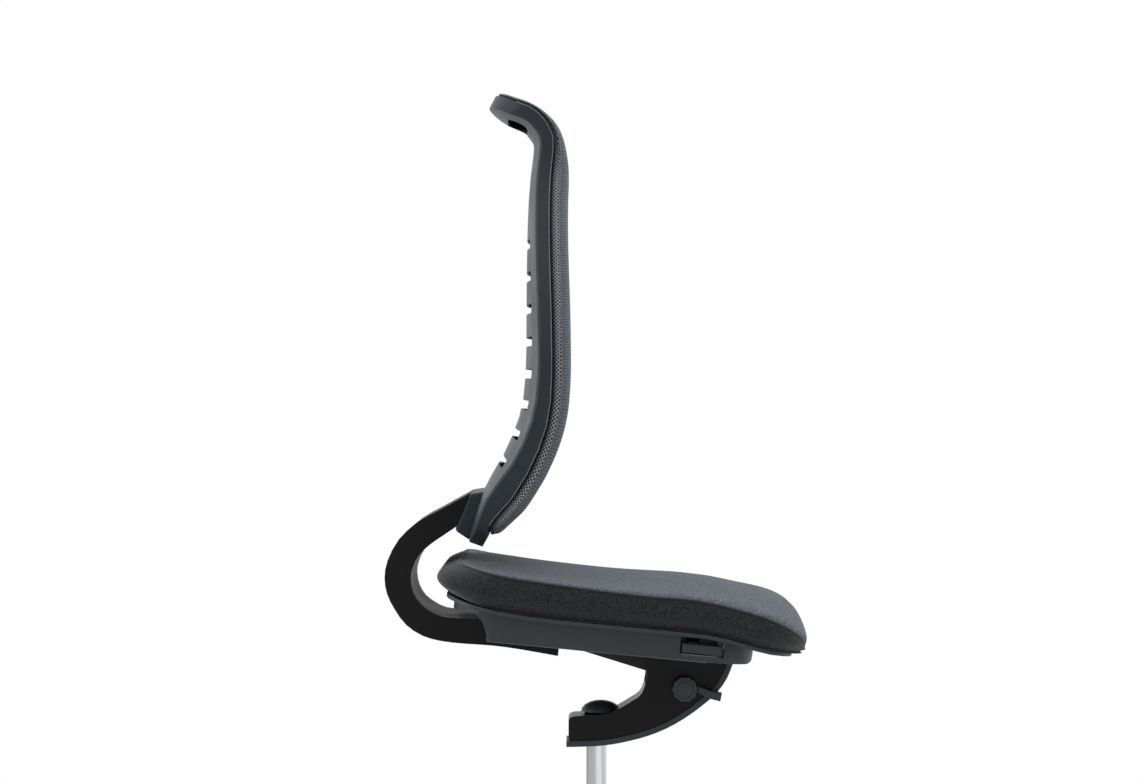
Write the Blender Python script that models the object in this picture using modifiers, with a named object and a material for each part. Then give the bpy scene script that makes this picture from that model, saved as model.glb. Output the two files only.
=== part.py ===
"""Office chair: slotted back shell on a C bracket, sliding seat, tilt arm, gas column, five castors.

Metres, +Z up, +X to the front of the chair, the sitter's right hand at -Y.
The origin is on the floor, on the axis of the column.
"""
import math

import bmesh
import bpy
from mathutils import Matrix, Vector

# Clearances
FIT = 0.0003
RUN = 0.0006

# Castors
WHEEL_DIAMETER = 0.060
WHEEL_WIDTH = 0.018
WHEEL_SIDES = 16
WHEEL_RECESS = 0.004
WHEEL_RIM = 0.006
WHEEL_SHOULDER = 0.005
WEB_THICKNESS = 0.008
WHEEL_SIDE_GAP = 0.0015
WHEEL_AXLE_DIAMETER = 0.006
FENDER_GAP = 0.002
FENDER_WALL = 0.003
CASTOR_TRAIL = 0.022
STEM_DIAMETER = 0.011
STEM_LENGTH = 0.021
STEM_COLLAR = 0.016
STEM_COLLAR_HEIGHT = 0.003
HOOD_BOSS_DIAMETER = 0.018
HOOD_BOSS_RISE = 0.005

# Star base
LEG_COUNT = 5
BASE_RADIUS = 0.290
LEG_ROOT_WIDTH = 0.046
LEG_TIP_WIDTH = 0.030
LEG_ROOT_HEIGHT = 0.040
LEG_TIP_HEIGHT = 0.022
LEG_RISE = 0.020
LEG_WALL = 0.004
LEG_EDGE = 0.005
SOCKET_DIAMETER = 0.032
LEG_SHORT = 0.33
LEG_HOLLOW_SHORT = 0.43
SOCKET_PROUD = 0.0008
HUB_DIAMETER = 0.078
HUB_DROP = 0.030
HUB_SHOULDER = 0.006
HUB_COLLAR_DIAMETER = 0.066
HUB_COLLAR_HEIGHT = 0.012

# Gas column
COLUMN_DIAMETER = 0.050
COLUMN_WALL = 0.002
COLUMN_LENGTH = 0.137
COLUMN_TOP_ABOVE_HUB = 0.035
BOTTOM_PLATE = 0.004
BUSH_LENGTH = 0.060
TUBE_DIAMETER = 0.028
TUBE_WALL = 0.002
TUBE_BELOW_ARM = 0.125
TUBE_IN_ARM = 0.025
TUBE_HEAD = 0.020
TUBE_FOOT = 0.010
ROD_DIAMETER = 0.010
ROD_LENGTH = 0.142
PISTON_LENGTH = 0.010
BEARING_DIAMETER = 0.026
BEARING_HEIGHT = 0.006
CLIP_DIAMETER = 0.016
CLIP_HEIGHT = 0.003
PIN_DIAMETER = 0.006
PIN_PROUD = 0.007

# Tilt arm
ARM_BOTTOM = 0.225
ARM_WIDTH = 0.064
ARM_WALL = 0.005
ARM_FLOOR = 0.007
COVER_THICKNESS = 0.008
COVER_WIDTH = 0.070
AXLE_FORWARD = 0.125
AXLE_RISE = 0.146
AXLE_DIAMETER = 0.012
AXLE_CHAMFER = 0.001
BUSH_WALL = 0.002
HEAD_RADIUS = 0.0125
VALVE_POCKET = 0.042
VALVE_REAR = 0.016
VALVE_ROOM = 0.004
CAP_DIAMETER = 0.054
CAP_HEIGHT = 0.015
CAP_WALL = 0.0025
CAP_FORWARD = 0.006

# Controls on the arm
KNOB_FORWARD = 0.119
KNOB_RISE = 0.081
KNOB_DIAMETER = 0.034
KNOB_DEPTH = 0.017
KNOB_LOBES = 10
KNOB_LOBE_DEPTH = 0.0014
SPINDLE_DIAMETER = 0.008
SPINDLE_BLIND = 0.002
NUT_LENGTH = 0.016
NUT_HEIGHT = 0.018
NUT_SHIFT = 0.004
LEVER_HUB_DIAMETER = 0.028
LEVER_HUB_DEPTH = 0.009
LEVER_SHAFT_DIAMETER = 0.016
LEVER_REACH = 0.050
LEVER_TIP_DROP = -0.0055
NECK_TOP = 0.004
NECK_FOOT = -0.006
PADDLE_HEIGHT = 0.011
PADDLE_DEPTH = 0.018
CRANK_LENGTH = 0.014
CRANK_THICKNESS = 0.005
RELEASE_ROD_DIAMETER = 0.004
RELEASE_ROD_BEND = 0.007
RELEASE_EYE_PLAY = 0.001
ROCKER_HEIGHT = 0.008
ROCKER_WIDTH = 0.020
ROCKER_FORWARD = 0.018
ROCKER_DROP = 0.010
ROCKER_PIN_DIAMETER = 0.004
ROCKER_PIN_GRIP = 0.0045

# Torsion springs on the tilt axle
SPRING_WIRE = 0.004
SPRING_RADIUS = 0.0105
SPRING_PITCH = 0.0052
SPRING_TURNS = 3
SPRING_POINTS = 10
SPRING_LEG_DROP = 0.046

# Seat frame, measured square to the seat's pitched reference plane
SEAT_PITCH = math.radians(5.5)
AXLE_BELOW_SEAT = 0.0243
PLATE_DROP = 0.0173
PLATE_THICKNESS = 0.004
PLATE_REAR = -0.105
PLATE_FRONT = 0.165
PLATE_WIDTH = 0.330
PLATE_CORNER = 0.020
WINDOW_REAR = 0.088
WINDOW_FRONT = 0.157
EAR_THICKNESS = 0.005
EAR_RADIUS = 0.011
RAIL_OFFSET = 0.145
RAIL_WIDTH = 0.022
RAIL_HEIGHT = 0.0105
RAIL_LENGTH = 0.225
RAIL_REAR = -0.090
RAIL_WALL = 0.003
RUNNER_WIDTH = 0.014
RUNNER_FLANGE = 0.0028
RUNNER_WEB = 0.004
RUNNER_LENGTH = 0.160
HOUSING_WIDTH = 0.050
HOUSING_WALL = 0.003
HOUSING_REAR = -0.021
HOUSING_FRONT = 0.078
ARMREST_PAD_LENGTH = 0.060
ARMREST_PAD_WIDTH = 0.050
ARMREST_PAD_HEIGHT = 0.003
ARMREST_FORWARD = 0.020
ARMREST_OFFSET = 0.120

# Seat pan and seat cushion
PAN_WIDTH = 0.470
PAN_RIM = 0.017
PAN_SKIRT_FRONT = 0.208
PAN_SKIRT_REAR = -0.190
PAN_CORNER = 0.070
PAN_REAR = -0.200
PAN_FRONT = 0.258
PAN_FLOOR = 0.005
PAN_WALL = 0.003
PAN_DEPTH = 0.0373
PAN_SKIRT_TOP = 0.010
PAN_CHIN = 0.010
RECESS_FORWARD = 0.137
RECESS_LENGTH = 0.056
RECESS_HEIGHT = 0.022
RECESS_DROP = 0.0015
RECESS_EDGE = 0.0015
HANDLE_LENGTH = 0.052
HANDLE_HEIGHT = 0.0136
HANDLE_THICKNESS = 0.006
LATCH_WIDTH = 0.014
LATCH_THICKNESS = 0.003
SEAT_WIDTH = 0.484
SEAT_REAR = -0.217
SEAT_FRONT = 0.281
SEAT_CORNER = 0.075
SEAT_DRAW_IN = 0.004
SEAT_NOSE = 0.055
SEAT_HEEL_LIFT = 0.006
SEAT_NOSE_LIFT = 0.002

# Back shell, bracket and back cushion
BACK_WIDTH = 0.432
BACK_FOOT_WIDTH = 0.372
BACK_TAPER_FROM = 0.240
BACK_TAPER_TO = 0.648
BACK_TAPER_POWER = 1.3
HANDLE_WIDTH = 0.204
HANDLE_ROUND = 0.050
HANDLE_TIP = 0.040
BACK_CORNER = 0.030
BACK_STEP = 0.030
BEND_STEP = 0.009
BEND_FROM = 0.600
TIP_STEPS = 5
BAND_DEPTH = 0.018
SHELL_WALL = 0.0035
SHELL_BULGE = 0.019
FOOT_BULGE = 0.35
SHELL_CHAMFER = 0.003
SLOT_COUNT = 8
SLOT_PITCH = 0.0437
SLOT_HEIGHT = 0.0125
SLOT_CORNER = 0.0025
SLOT_MARGIN = 0.058
TOP_SLOT_RISE = 0.4980
GRIP_LENGTH = 0.130
GRIP_WIDTH = 0.030
GRIP_CORNER = 0.0145
GRIP_FROM_TIP = 0.046
BOSS_WIDTH = 0.196
BRACKET_WIDTH = 0.180
BRACKET_EDGE = 0.004
PAD_GAP = 0.0012
PAD_BORDER = 0.012
PAD_FRONT = 0.014
PAD_PLUG = 0.006
PAD_HOLLOW = 0.005
PAD_EDGE = 0.022
PAD_OVER_HANDLE = 0.25
PAD_FULL_TO = 0.568
PAD_THIN_OVER = 0.105
PAD_END = 0.030
PAD_FOOT = 0.020

# Places that follow from the sizes above
AXLE_Z = ARM_BOTTOM + AXLE_RISE
SEAT_Z = AXLE_Z + (AXLE_BELOW_SEAT + AXLE_FORWARD * math.sin(SEAT_PITCH)) / math.cos(SEAT_PITCH)
KNOB_Z = ARM_BOTTOM + KNOB_RISE
ARM_HALF = ARM_WIDTH / 2
CASTOR_HEIGHT = WHEEL_DIAMETER + FENDER_GAP + FENDER_WALL + HOOD_BOSS_RISE
SOCKET_Z = CASTOR_HEIGHT + FIT + STEM_COLLAR_HEIGHT + FIT
HUB_TOP = SOCKET_Z + LEG_RISE + LEG_TIP_HEIGHT
COLUMN_TOP = HUB_TOP + HUB_COLLAR_HEIGHT + COLUMN_TOP_ABOVE_HUB
COLUMN_FOOT = COLUMN_TOP - COLUMN_LENGTH
TUBE_TOP = ARM_BOTTOM + TUBE_IN_ARM
TUBE_FOOT_Z = ARM_BOTTOM - TUBE_BELOW_ARM
ROCKER_Z = TUBE_TOP + PIN_PROUD + ROCKER_HEIGHT / 2 + FIT
PLATE_UNDER = -PLATE_DROP - PLATE_THICKNESS
ARM_INSIDE = ARM_HALF - ARM_WALL
PAN_SKIRT_WIDTH = PAN_WIDTH - 2 * PAN_RIM
EAR_INSIDE = ARM_HALF + RUN
EAR_OUTSIDE = EAR_INSIDE + EAR_THICKNESS
WHEEL_INSIDE = WEB_THICKNESS / 2 + WHEEL_SIDE_GAP
CASTOR_HALF = WHEEL_INSIDE + WHEEL_WIDTH
CRANK_FACE = -ARM_INSIDE + FIT
ROD_PLANE = CRANK_FACE + CRANK_THICKNESS + RELEASE_ROD_DIAMETER / 2 + RUN
RELEASE_SLOPE = (KNOB_Z - CRANK_LENGTH - ROCKER_Z + ROCKER_DROP) / (KNOB_FORWARD - ROCKER_FORWARD)


def clear_scene():
    """Remove every object that the file starts with."""
    for obj in list(bpy.data.objects):
        bpy.data.objects.remove(obj, do_unlink=True)


def new_collection(name):
    collection = bpy.data.collections.new(name)
    bpy.context.scene.collection.children.link(collection)
    return collection


clear_scene()
CHAIR = new_collection("office_chair")
CUTTERS = new_collection("cutters")


def finish_of(name, colour, roughness, metallic=0.0):
    """A Principled material with one colour, roughness and metallic value."""
    material = bpy.data.materials.new(name)
    material.use_nodes = True
    shader = material.node_tree.nodes["Principled BSDF"]
    shader.inputs["Base Color"].default_value = (*colour, 1.0)
    shader.inputs["Roughness"].default_value = roughness
    shader.inputs["Metallic"].default_value = metallic
    return material


NYLON = ((0.020, 0.020, 0.022), 0.5)
CHARCOAL = ((0.045, 0.052, 0.058), 0.55)
RUBBER = ((0.015, 0.015, 0.016), 0.8)
FABRIC = ((0.070, 0.078, 0.090), 0.95)
STEEL = ((0.55, 0.56, 0.58), 0.3, 1.0)
CHROME = ((0.80, 0.81, 0.82), 0.08, 1.0)
BRASS = ((0.62, 0.48, 0.22), 0.3, 1.0)
LACQUER = ((0.018, 0.018, 0.020), 0.3)


def add(name, mesh, finish=None, cutter=False):
    """Put a mesh in the scene, as a piece of the chair or as a cutter."""
    obj = bpy.data.objects.new(name, mesh)
    if cutter:
        CUTTERS.objects.link(obj)
        obj.hide_render = True
        obj.display_type = 'WIRE'
    else:
        CHAIR.objects.link(obj)
        mesh.materials.append(finish_of(name, *finish))
    return obj


def pivot(name, place, parent=None, pitch=0.0):
    """An empty on a joint's axis, which carries the pieces that move together."""
    empty = bpy.data.objects.new(name, None)
    empty.empty_display_size = 0.02
    empty.location = place
    empty.rotation_euler = (0.0, pitch, 0.0)
    CHAIR.objects.link(empty)
    if parent:
        carry(empty, parent)
    return empty


def frame_of(empty):
    """World matrix of an empty at rest."""
    return Matrix.Translation(empty.location) @ empty.rotation_euler.to_matrix().to_4x4()


def carry(obj, empty):
    """Parent an object to a pivot and leave it where it is."""
    obj.parent = empty
    obj.matrix_parent_inverse = frame_of(empty).inverted()


def in_seat_frame(obj):
    """Place an object, modelled square to the seat, on the pitched seat plane."""
    obj.location = (0.0, 0.0, SEAT_Z)
    obj.rotation_euler = (0.0, SEAT_PITCH, 0.0)
    return obj


def seat_to_world(along, above):
    """World X and Z of a point given along and square to the seat plane."""
    x = along * math.cos(SEAT_PITCH) + above * math.sin(SEAT_PITCH)
    z = SEAT_Z - along * math.sin(SEAT_PITCH) + above * math.cos(SEAT_PITCH)
    return x, z


def world_to_seat(x, z):
    """Along and square to the seat plane, for a world X and Z."""
    rise = z - SEAT_Z
    along = x * math.cos(SEAT_PITCH) - rise * math.sin(SEAT_PITCH)
    above = x * math.sin(SEAT_PITCH) + rise * math.cos(SEAT_PITCH)
    return along, above


def smooth(points, steps=4):
    """Points on a curve that passes through the given ones (Catmull-Rom)."""
    count = len(points)
    curve = []
    for i in range(count - 1):
        p1 = Vector(points[i])
        p2 = Vector(points[i + 1])
        p0 = Vector(points[i - 1]) if i else p1 * 2 - p2
        p3 = Vector(points[i + 2]) if i + 2 < count else p2 * 2 - p1
        for k in range(steps):
            t = k / steps
            a = 2 * p1
            b = (p2 - p0) * t
            c = (2 * p0 - 5 * p1 + 4 * p2 - p3) * t * t
            d = (3 * p1 - p0 - 3 * p2 + p3) * t ** 3
            curve.append((a + b + c + d) / 2)
    curve.append(Vector(points[-1]))
    return curve


def arc(centre, radius, start, end, steps):
    """Points on an arc, from one angle in degrees to another."""
    points = []
    for k in range(steps + 1):
        angle = math.radians(start + (end - start) * k / steps)
        points.append((centre[0] + radius * math.cos(angle), centre[1] + radius * math.sin(angle)))
    return points


def offset_line(points, distance):
    """A line beside an open line, to its left, at a constant distance."""
    line = [Vector(p) for p in points]
    shifted = []
    for i, point in enumerate(line):
        before = line[max(i - 1, 0)]
        after = line[min(i + 1, len(line) - 1)]
        along = (after - before).normalized()
        shifted.append(point + Vector((-along.y, along.x)) * distance)
    return shifted


def mesh_of_curve(curve_obj):
    """The curve as a welded mesh; the curve object is removed."""
    bpy.context.view_layer.update()
    depsgraph = bpy.context.evaluated_depsgraph_get()
    mesh = bpy.data.meshes.new_from_object(curve_obj.evaluated_get(depsgraph))
    bm = bmesh.new()
    bm.from_mesh(mesh)
    bmesh.ops.remove_doubles(bm, verts=bm.verts, dist=1e-6)
    bmesh.ops.recalc_face_normals(bm, faces=bm.faces)
    bm.to_mesh(mesh)
    bm.free()
    bpy.data.objects.remove(curve_obj, do_unlink=True)
    return mesh


def outline_mesh(outline, thickness):
    """A flat outline, filled and extruded to a thickness about its plane."""
    curve = bpy.data.curves.new("outline", 'CURVE')
    curve.dimensions = '2D'
    curve.fill_mode = 'BOTH'
    curve.extrude = thickness / 2
    spline = curve.splines.new('POLY')
    spline.points.add(len(outline) - 1)
    for point, place in zip(spline.points, outline):
        point.co = (place[0], place[1], 0.0, 1.0)
    spline.use_cyclic_u = True
    obj = bpy.data.objects.new("outline", curve)
    bpy.context.scene.collection.objects.link(obj)
    return mesh_of_curve(obj)


def side_plate(name, outline, width, finish=None, cutter=False, middle=0.0):
    """An outline in the XZ plane, extruded across the chair about Y = middle."""
    mesh = outline_mesh(outline, width)
    mesh.transform(Matrix.Translation((0, middle, 0)) @ Matrix.Rotation(math.pi / 2, 4, 'X'))
    return add(name, mesh, finish, cutter)


def tube(name, points, diameter, finish, sides=1):
    """A round wire along points, with its ends filled."""
    curve = bpy.data.curves.new(name, 'CURVE')
    curve.dimensions = '3D'
    curve.bevel_depth = diameter / 2
    curve.bevel_resolution = sides
    curve.use_fill_caps = True
    spline = curve.splines.new('POLY')
    spline.points.add(len(points) - 1)
    for point, place in zip(spline.points, points):
        point.co = (*place, 1.0)
    obj = bpy.data.objects.new(name, curve)
    bpy.context.scene.collection.objects.link(obj)
    return add(name, mesh_of_curve(obj), finish)


def turned(name, profile, finish=None, sides=20, cutter=False, closed=False):
    """A profile of (radius, height) points, outer side from top to bottom, turned about Z."""
    mesh = bpy.data.meshes.new(name)
    count = len(profile)
    edges = [(i, i + 1) for i in range(count - 1)]
    if closed:
        edges.append((count - 1, 0))
    mesh.from_pydata([(r, 0.0, z) for r, z in profile], edges, [])
    obj = add(name, mesh, finish, cutter)
    screw = obj.modifiers.new("turn", 'SCREW')
    screw.steps = sides
    screw.render_steps = sides
    screw.use_merge_vertices = True
    screw.merge_threshold = 1e-5
    screw.use_smooth_shade = False
    return obj


def ring_profile(inner, outer, top, bottom):
    """Profile of a plain ring or tube."""
    return [(outer, top), (outer, bottom), (inner, bottom), (inner, top)]


def rod_profile(radius, top, bottom):
    """Profile of a plain round bar."""
    return [(0.0, top), (radius, top), (radius, bottom), (0.0, bottom)]


def lie_across(obj, x, y, z):
    """Turn a piece made about Z so that its axis lies along Y, its top to +Y."""
    obj.rotation_euler = (-math.pi / 2, 0.0, 0.0)
    obj.location = (x, y, z)
    return obj


def block(name, size, centre, finish=None, cutter=False):
    """A box from its size and its centre."""
    bm = bmesh.new()
    bmesh.ops.create_cube(bm, size=1.0)
    bmesh.ops.scale(bm, vec=size, verts=bm.verts)
    bmesh.ops.translate(bm, vec=centre, verts=bm.verts)
    mesh = bpy.data.meshes.new(name)
    bm.to_mesh(mesh)
    bm.free()
    return add(name, mesh, finish, cutter)


def bar_across(name, diameter, start, end, x, z, sides=20):
    """A round cutter along Y, from start to end."""
    obj = turned(name, rod_profile(diameter / 2, end, start), sides=sides, cutter=True)
    return lie_across(obj, x, 0.0, z)


def boolean(obj, other, operation):
    step = obj.modifiers.new(other.name, 'BOOLEAN')
    step.operation = operation
    step.solver = 'EXACT'
    step.object = other


def cut(obj, cutter):
    boolean(obj, cutter, 'DIFFERENCE')


def join(obj, tool):
    boolean(obj, tool, 'UNION')


def round_edges(obj, width, segments=2, angle=40.0):
    bevel = obj.modifiers.new("round", 'BEVEL')
    bevel.width = width
    bevel.segments = segments
    bevel.limit_method = 'ANGLE'
    bevel.angle_limit = math.radians(angle)


def loft(name, rings, finish):
    """A closed body through rings of equal count, capped at both ends."""
    bm = bmesh.new()
    rows = [[bm.verts.new(p) for p in ring] for ring in rings]
    count = len(rows[0])
    for lower, upper in zip(rows, rows[1:]):
        for k in range(count):
            after = (k + 1) % count
            bm.faces.new((lower[k], lower[after], upper[after], upper[k]))
    bm.faces.new(rows[0])
    bm.faces.new(list(reversed(rows[-1])))
    bmesh.ops.recalc_face_normals(bm, faces=bm.faces)
    mesh = bpy.data.meshes.new(name)
    bm.to_mesh(mesh)
    bm.free()
    return add(name, mesh, finish)


def build_castor(number, stem_x, stem_y, base):
    """One twin-wheel castor, trailing to the rear: stem, hood, axle and two wheels."""
    tag = "_" + str(number)
    swivel = pivot("castor_swivel" + tag, (stem_x, stem_y, CASTOR_HEIGHT), base)
    radius = WHEEL_DIAMETER / 2
    axle_x = stem_x - CASTOR_TRAIL
    axle_place = (axle_x, stem_y, radius)
    stem_z = CASTOR_HEIGHT + FIT
    collar_top = stem_z + STEM_COLLAR_HEIGHT
    stem = turned("castor_stem" + tag, [
        (0.0, collar_top + STEM_LENGTH), (STEM_DIAMETER / 2, collar_top + STEM_LENGTH),
        (STEM_DIAMETER / 2, collar_top), (STEM_COLLAR / 2, collar_top),
        (STEM_COLLAR / 2, stem_z), (0.0, stem_z)], STEEL, sides=12)
    stem.location = (stem_x, stem_y, 0.0)

    fender_in = radius + FENDER_GAP
    fender_out = fender_in + FENDER_WALL
    centre = (0.0, 0.0)
    sector = arc(centre, fender_out, -12, 165, 10) + arc(centre, fender_in - RUN, 165, -12, 10)
    half = CASTOR_HALF + RUN
    hood = side_plate("castor_hood" + tag, sector, 2 * half, NYLON)
    boss_foot = radius * 0.4
    boss = turned("hood_boss" + tag, rod_profile(HOOD_BOSS_DIAMETER / 2, CASTOR_HEIGHT - radius, boss_foot),
                  sides=12, cutter=True)
    clear = bar_across("hood_clear" + tag, 2 * fender_in, -2 * half, 2 * half, 0.0, 0.0, sides=20)
    web_outline = arc(centre, fender_in + FENDER_WALL / 2, -8, 160, 8) + [(-radius * 0.3, -radius * 0.2)]
    web = side_plate("hood_web" + tag, web_outline, WEB_THICKNESS, cutter=True)
    hole = bar_across("hood_hole" + tag, WHEEL_AXLE_DIAMETER + 2 * FIT, -half, half, 0.0, 0.0, sides=10)
    boss.location = (stem_x, stem_y, radius)
    for piece in (hood, clear, web, hole):
        piece.location = axle_place
    join(hood, boss)
    cut(hood, clear)
    join(hood, web)
    cut(hood, hole)

    reach = CASTOR_HALF - WHEEL_RECESS - RUN
    axle = turned("castor_axle" + tag, rod_profile(WHEEL_AXLE_DIAMETER / 2, reach, -reach), STEEL, sides=10)
    lie_across(axle, *axle_place)
    carried = [stem, hood, axle]
    for side, sign in (("left", 1), ("right", -1)):
        spin = pivot("castor_spin_" + side + tag, axle_place, swivel)
        tread = radius / math.cos(math.pi / WHEEL_SIDES)
        bore = WHEEL_AXLE_DIAMETER / 2 + RUN
        wheel = turned("castor_wheel_" + side + tag, [
            (tread * 0.88, CASTOR_HALF), (tread, CASTOR_HALF - WHEEL_SHOULDER), (tread, WHEEL_INSIDE),
            (bore, WHEEL_INSIDE), (bore, CASTOR_HALF - WHEEL_RECESS),
            (tread - WHEEL_RIM, CASTOR_HALF - WHEEL_RECESS)], RUBBER, sides=WHEEL_SIDES, closed=True)
        wheel.rotation_euler = (-math.pi / 2 * sign, math.pi / WHEEL_SIDES, 0.0)
        wheel.location = axle_place
        carry(wheel, spin)
    for piece in carried:
        carry(piece, swivel)


def build_base():
    """Five hollow tapered legs on a hub, with a bore for the column and a socket at each tip."""
    root = pivot("base", (0.0, 0.0, 0.0))
    hub_foot = SOCKET_Z - HUB_DROP
    base = turned("star_base", [
        (0.0, HUB_TOP + HUB_COLLAR_HEIGHT), (HUB_COLLAR_DIAMETER / 2 - 0.003, HUB_TOP + HUB_COLLAR_HEIGHT),
        (HUB_COLLAR_DIAMETER / 2, HUB_TOP + HUB_COLLAR_HEIGHT - 0.003), (HUB_COLLAR_DIAMETER / 2, HUB_TOP),
        (HUB_DIAMETER / 2, HUB_TOP - 0.004), (HUB_DIAMETER / 2, hub_foot), (0.0, hub_foot)], NYLON, sides=24)
    carry(base, root)
    stems = []
    for k in range(LEG_COUNT):
        angle = 2 * math.pi * k / LEG_COUNT
        turn = Matrix.Rotation(angle, 4, 'Z')
        tag = "_" + str(k + 1)
        leg = leg_body("leg" + tag, 0.0, 0.0, turn)
        round_edges(leg, LEG_EDGE, 1)
        hollow = leg_body("leg_hollow" + tag, LEG_WALL, HUB_DIAMETER / 2 - COLUMN_WALL, turn)
        stem_place = turn @ Vector((BASE_RADIUS, 0.0, 0.0))
        top = SOCKET_Z + LEG_TIP_HEIGHT
        roof = SOCKET_Z + STEM_LENGTH + FIT
        socket = turned("socket" + tag, [
            (0.0, top), (SOCKET_DIAMETER / 2 - LEG_EDGE / 2, top), (SOCKET_DIAMETER / 2, top - LEG_EDGE / 2),
            (SOCKET_DIAMETER / 2, SOCKET_Z), (STEM_DIAMETER / 2 + FIT, SOCKET_Z),
            (STEM_DIAMETER / 2 + FIT, roof), (0.0, roof)], sides=16, cutter=True)
        socket.location = stem_place
        socket.rotation_euler = (0.0, 0.0, angle)
        cut(leg, hollow)
        join(base, leg)
        join(base, socket)
        stems.append(stem_place)
    bore = turned("column_bore", rod_profile(
        COLUMN_DIAMETER / 2 + FIT, HUB_TOP + 2 * HUB_COLLAR_HEIGHT, hub_foot - LEG_EDGE),
        sides=24, cutter=True)
    cut(base, bore)
    for k, place in enumerate(stems):
        build_castor(k + 1, place.x, place.y, root)
    return root


def leg_body(name, inset, start, turn):
    """A tapered leg from the hub to its socket; an inset gives the hollow under it."""
    bm = bmesh.new()
    bmesh.ops.create_cube(bm, size=1.0)
    under = 0.02 if inset else 0.0
    for vert in bm.verts:
        outer = vert.co.x > 0
        width = (LEG_TIP_WIDTH if outer else LEG_ROOT_WIDTH) - 2 * inset
        foot = SOCKET_Z + SOCKET_PROUD if outer else HUB_TOP - LEG_ROOT_HEIGHT
        top = SOCKET_Z + LEG_TIP_HEIGHT - SOCKET_PROUD if outer else HUB_TOP - HUB_SHOULDER
        reach = BASE_RADIUS - SOCKET_DIAMETER * (LEG_HOLLOW_SHORT if inset else LEG_SHORT)
        vert.co.x = reach if outer else start
        vert.co.y = math.copysign(width / 2, vert.co.y)
        vert.co.z = top - inset if vert.co.z > 0 else foot - under
    mesh = bpy.data.meshes.new(name)
    bm.to_mesh(mesh)
    bm.free()
    mesh.transform(turn)
    return add(name, mesh, cutter=True)


def build_column(base):
    """Outer tube with its guide bush, the rod clipped to its foot, and the moving gas tube."""
    outer = COLUMN_DIAMETER / 2
    inner = outer - COLUMN_WALL
    rod = ROD_DIAMETER / 2
    plate_top = COLUMN_FOOT + BOTTOM_PLATE
    tube = turned("column_tube", [
        (outer, COLUMN_TOP), (outer, COLUMN_FOOT), (rod + FIT, COLUMN_FOOT), (rod + FIT, plate_top),
        (inner, plate_top), (inner, COLUMN_TOP)], STEEL, sides=24, closed=True)
    bush = turned("guide_bush", ring_profile(
        TUBE_DIAMETER / 2 + FIT, inner - FIT, COLUMN_TOP, COLUMN_TOP - BUSH_LENGTH),
        NYLON, sides=24, closed=True)
    for piece in (tube, bush):
        carry(piece, base)

    spin = pivot("column_swivel", (0.0, 0.0, COLUMN_FOOT), base)
    bearing_foot = plate_top + FIT
    bearing = turned("thrust_bearing", ring_profile(
        rod + FIT, BEARING_DIAMETER / 2, bearing_foot + BEARING_HEIGHT, bearing_foot),
        STEEL, sides=20, closed=True)
    rod_foot = COLUMN_FOOT - CLIP_HEIGHT - 2 * FIT
    piston = TUBE_DIAMETER / 2 - TUBE_WALL - FIT
    rod_top = rod_foot + ROD_LENGTH
    shoulder = bearing_foot + BEARING_HEIGHT + FIT
    piston_rod = turned("piston_rod", [
        (0.0, rod_top), (piston, rod_top), (piston, rod_top - PISTON_LENGTH), (rod, rod_top - PISTON_LENGTH),
        (rod, shoulder + 0.002), (rod + 0.002, shoulder + 0.002), (rod + 0.002, shoulder), (rod, shoulder),
        (rod, rod_foot), (0.0, rod_foot)], STEEL, sides=20)
    clip = turned("rod_clip", ring_profile(
        rod + FIT, CLIP_DIAMETER / 2, COLUMN_FOOT - FIT, COLUMN_FOOT - FIT - CLIP_HEIGHT), STEEL,
        sides=16, closed=True)
    for piece in (bearing, piston_rod, clip):
        carry(piece, spin)

    lift = pivot("seat_lift", (0.0, 0.0, ARM_BOTTOM), spin)
    radius = TUBE_DIAMETER / 2
    bore = radius - TUBE_WALL
    head = TUBE_TOP - TUBE_HEAD
    pin = PIN_DIAMETER / 2
    gas_tube = turned("pressure_tube", [
        (radius - 0.001, TUBE_TOP), (radius, TUBE_TOP - 0.001), (radius, TUBE_FOOT_Z),
        (rod + FIT, TUBE_FOOT_Z),
        (rod + FIT, TUBE_FOOT_Z + TUBE_FOOT), (bore, TUBE_FOOT_Z + TUBE_FOOT), (bore, head),
        (pin + FIT, head), (pin + FIT, TUBE_TOP)], CHROME, sides=24, closed=True)
    carry(gas_tube, lift)
    press = pivot("release_press", (0.0, 0.0, TUBE_TOP), lift)
    release = turned("release_pin", [
        (0.0, TUBE_TOP + PIN_PROUD), (pin * 0.7, TUBE_TOP + PIN_PROUD), (pin, TUBE_TOP + PIN_PROUD - 0.001),
        (pin, head), (0.0, head)], STEEL, sides=12)
    carry(release, press)
    return lift


def cover_line():
    """Line between the arm and its lower cover, from the rear to the head, heights above the cover's foot."""
    foot = [(-0.036, 0.0090), (-0.003, 0.0100), (0.0205, 0.0125), (0.0438, 0.0172), (0.0671, 0.0236),
            (0.0904, 0.0328), (0.1138, 0.0458), (0.1371, 0.0624), (0.1573, 0.0802), (0.1700, 0.0985),
            (0.1770, 0.1160)]
    return [Vector((x, ARM_BOTTOM + rise)) for x, rise in smooth(foot, 2)]


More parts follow.
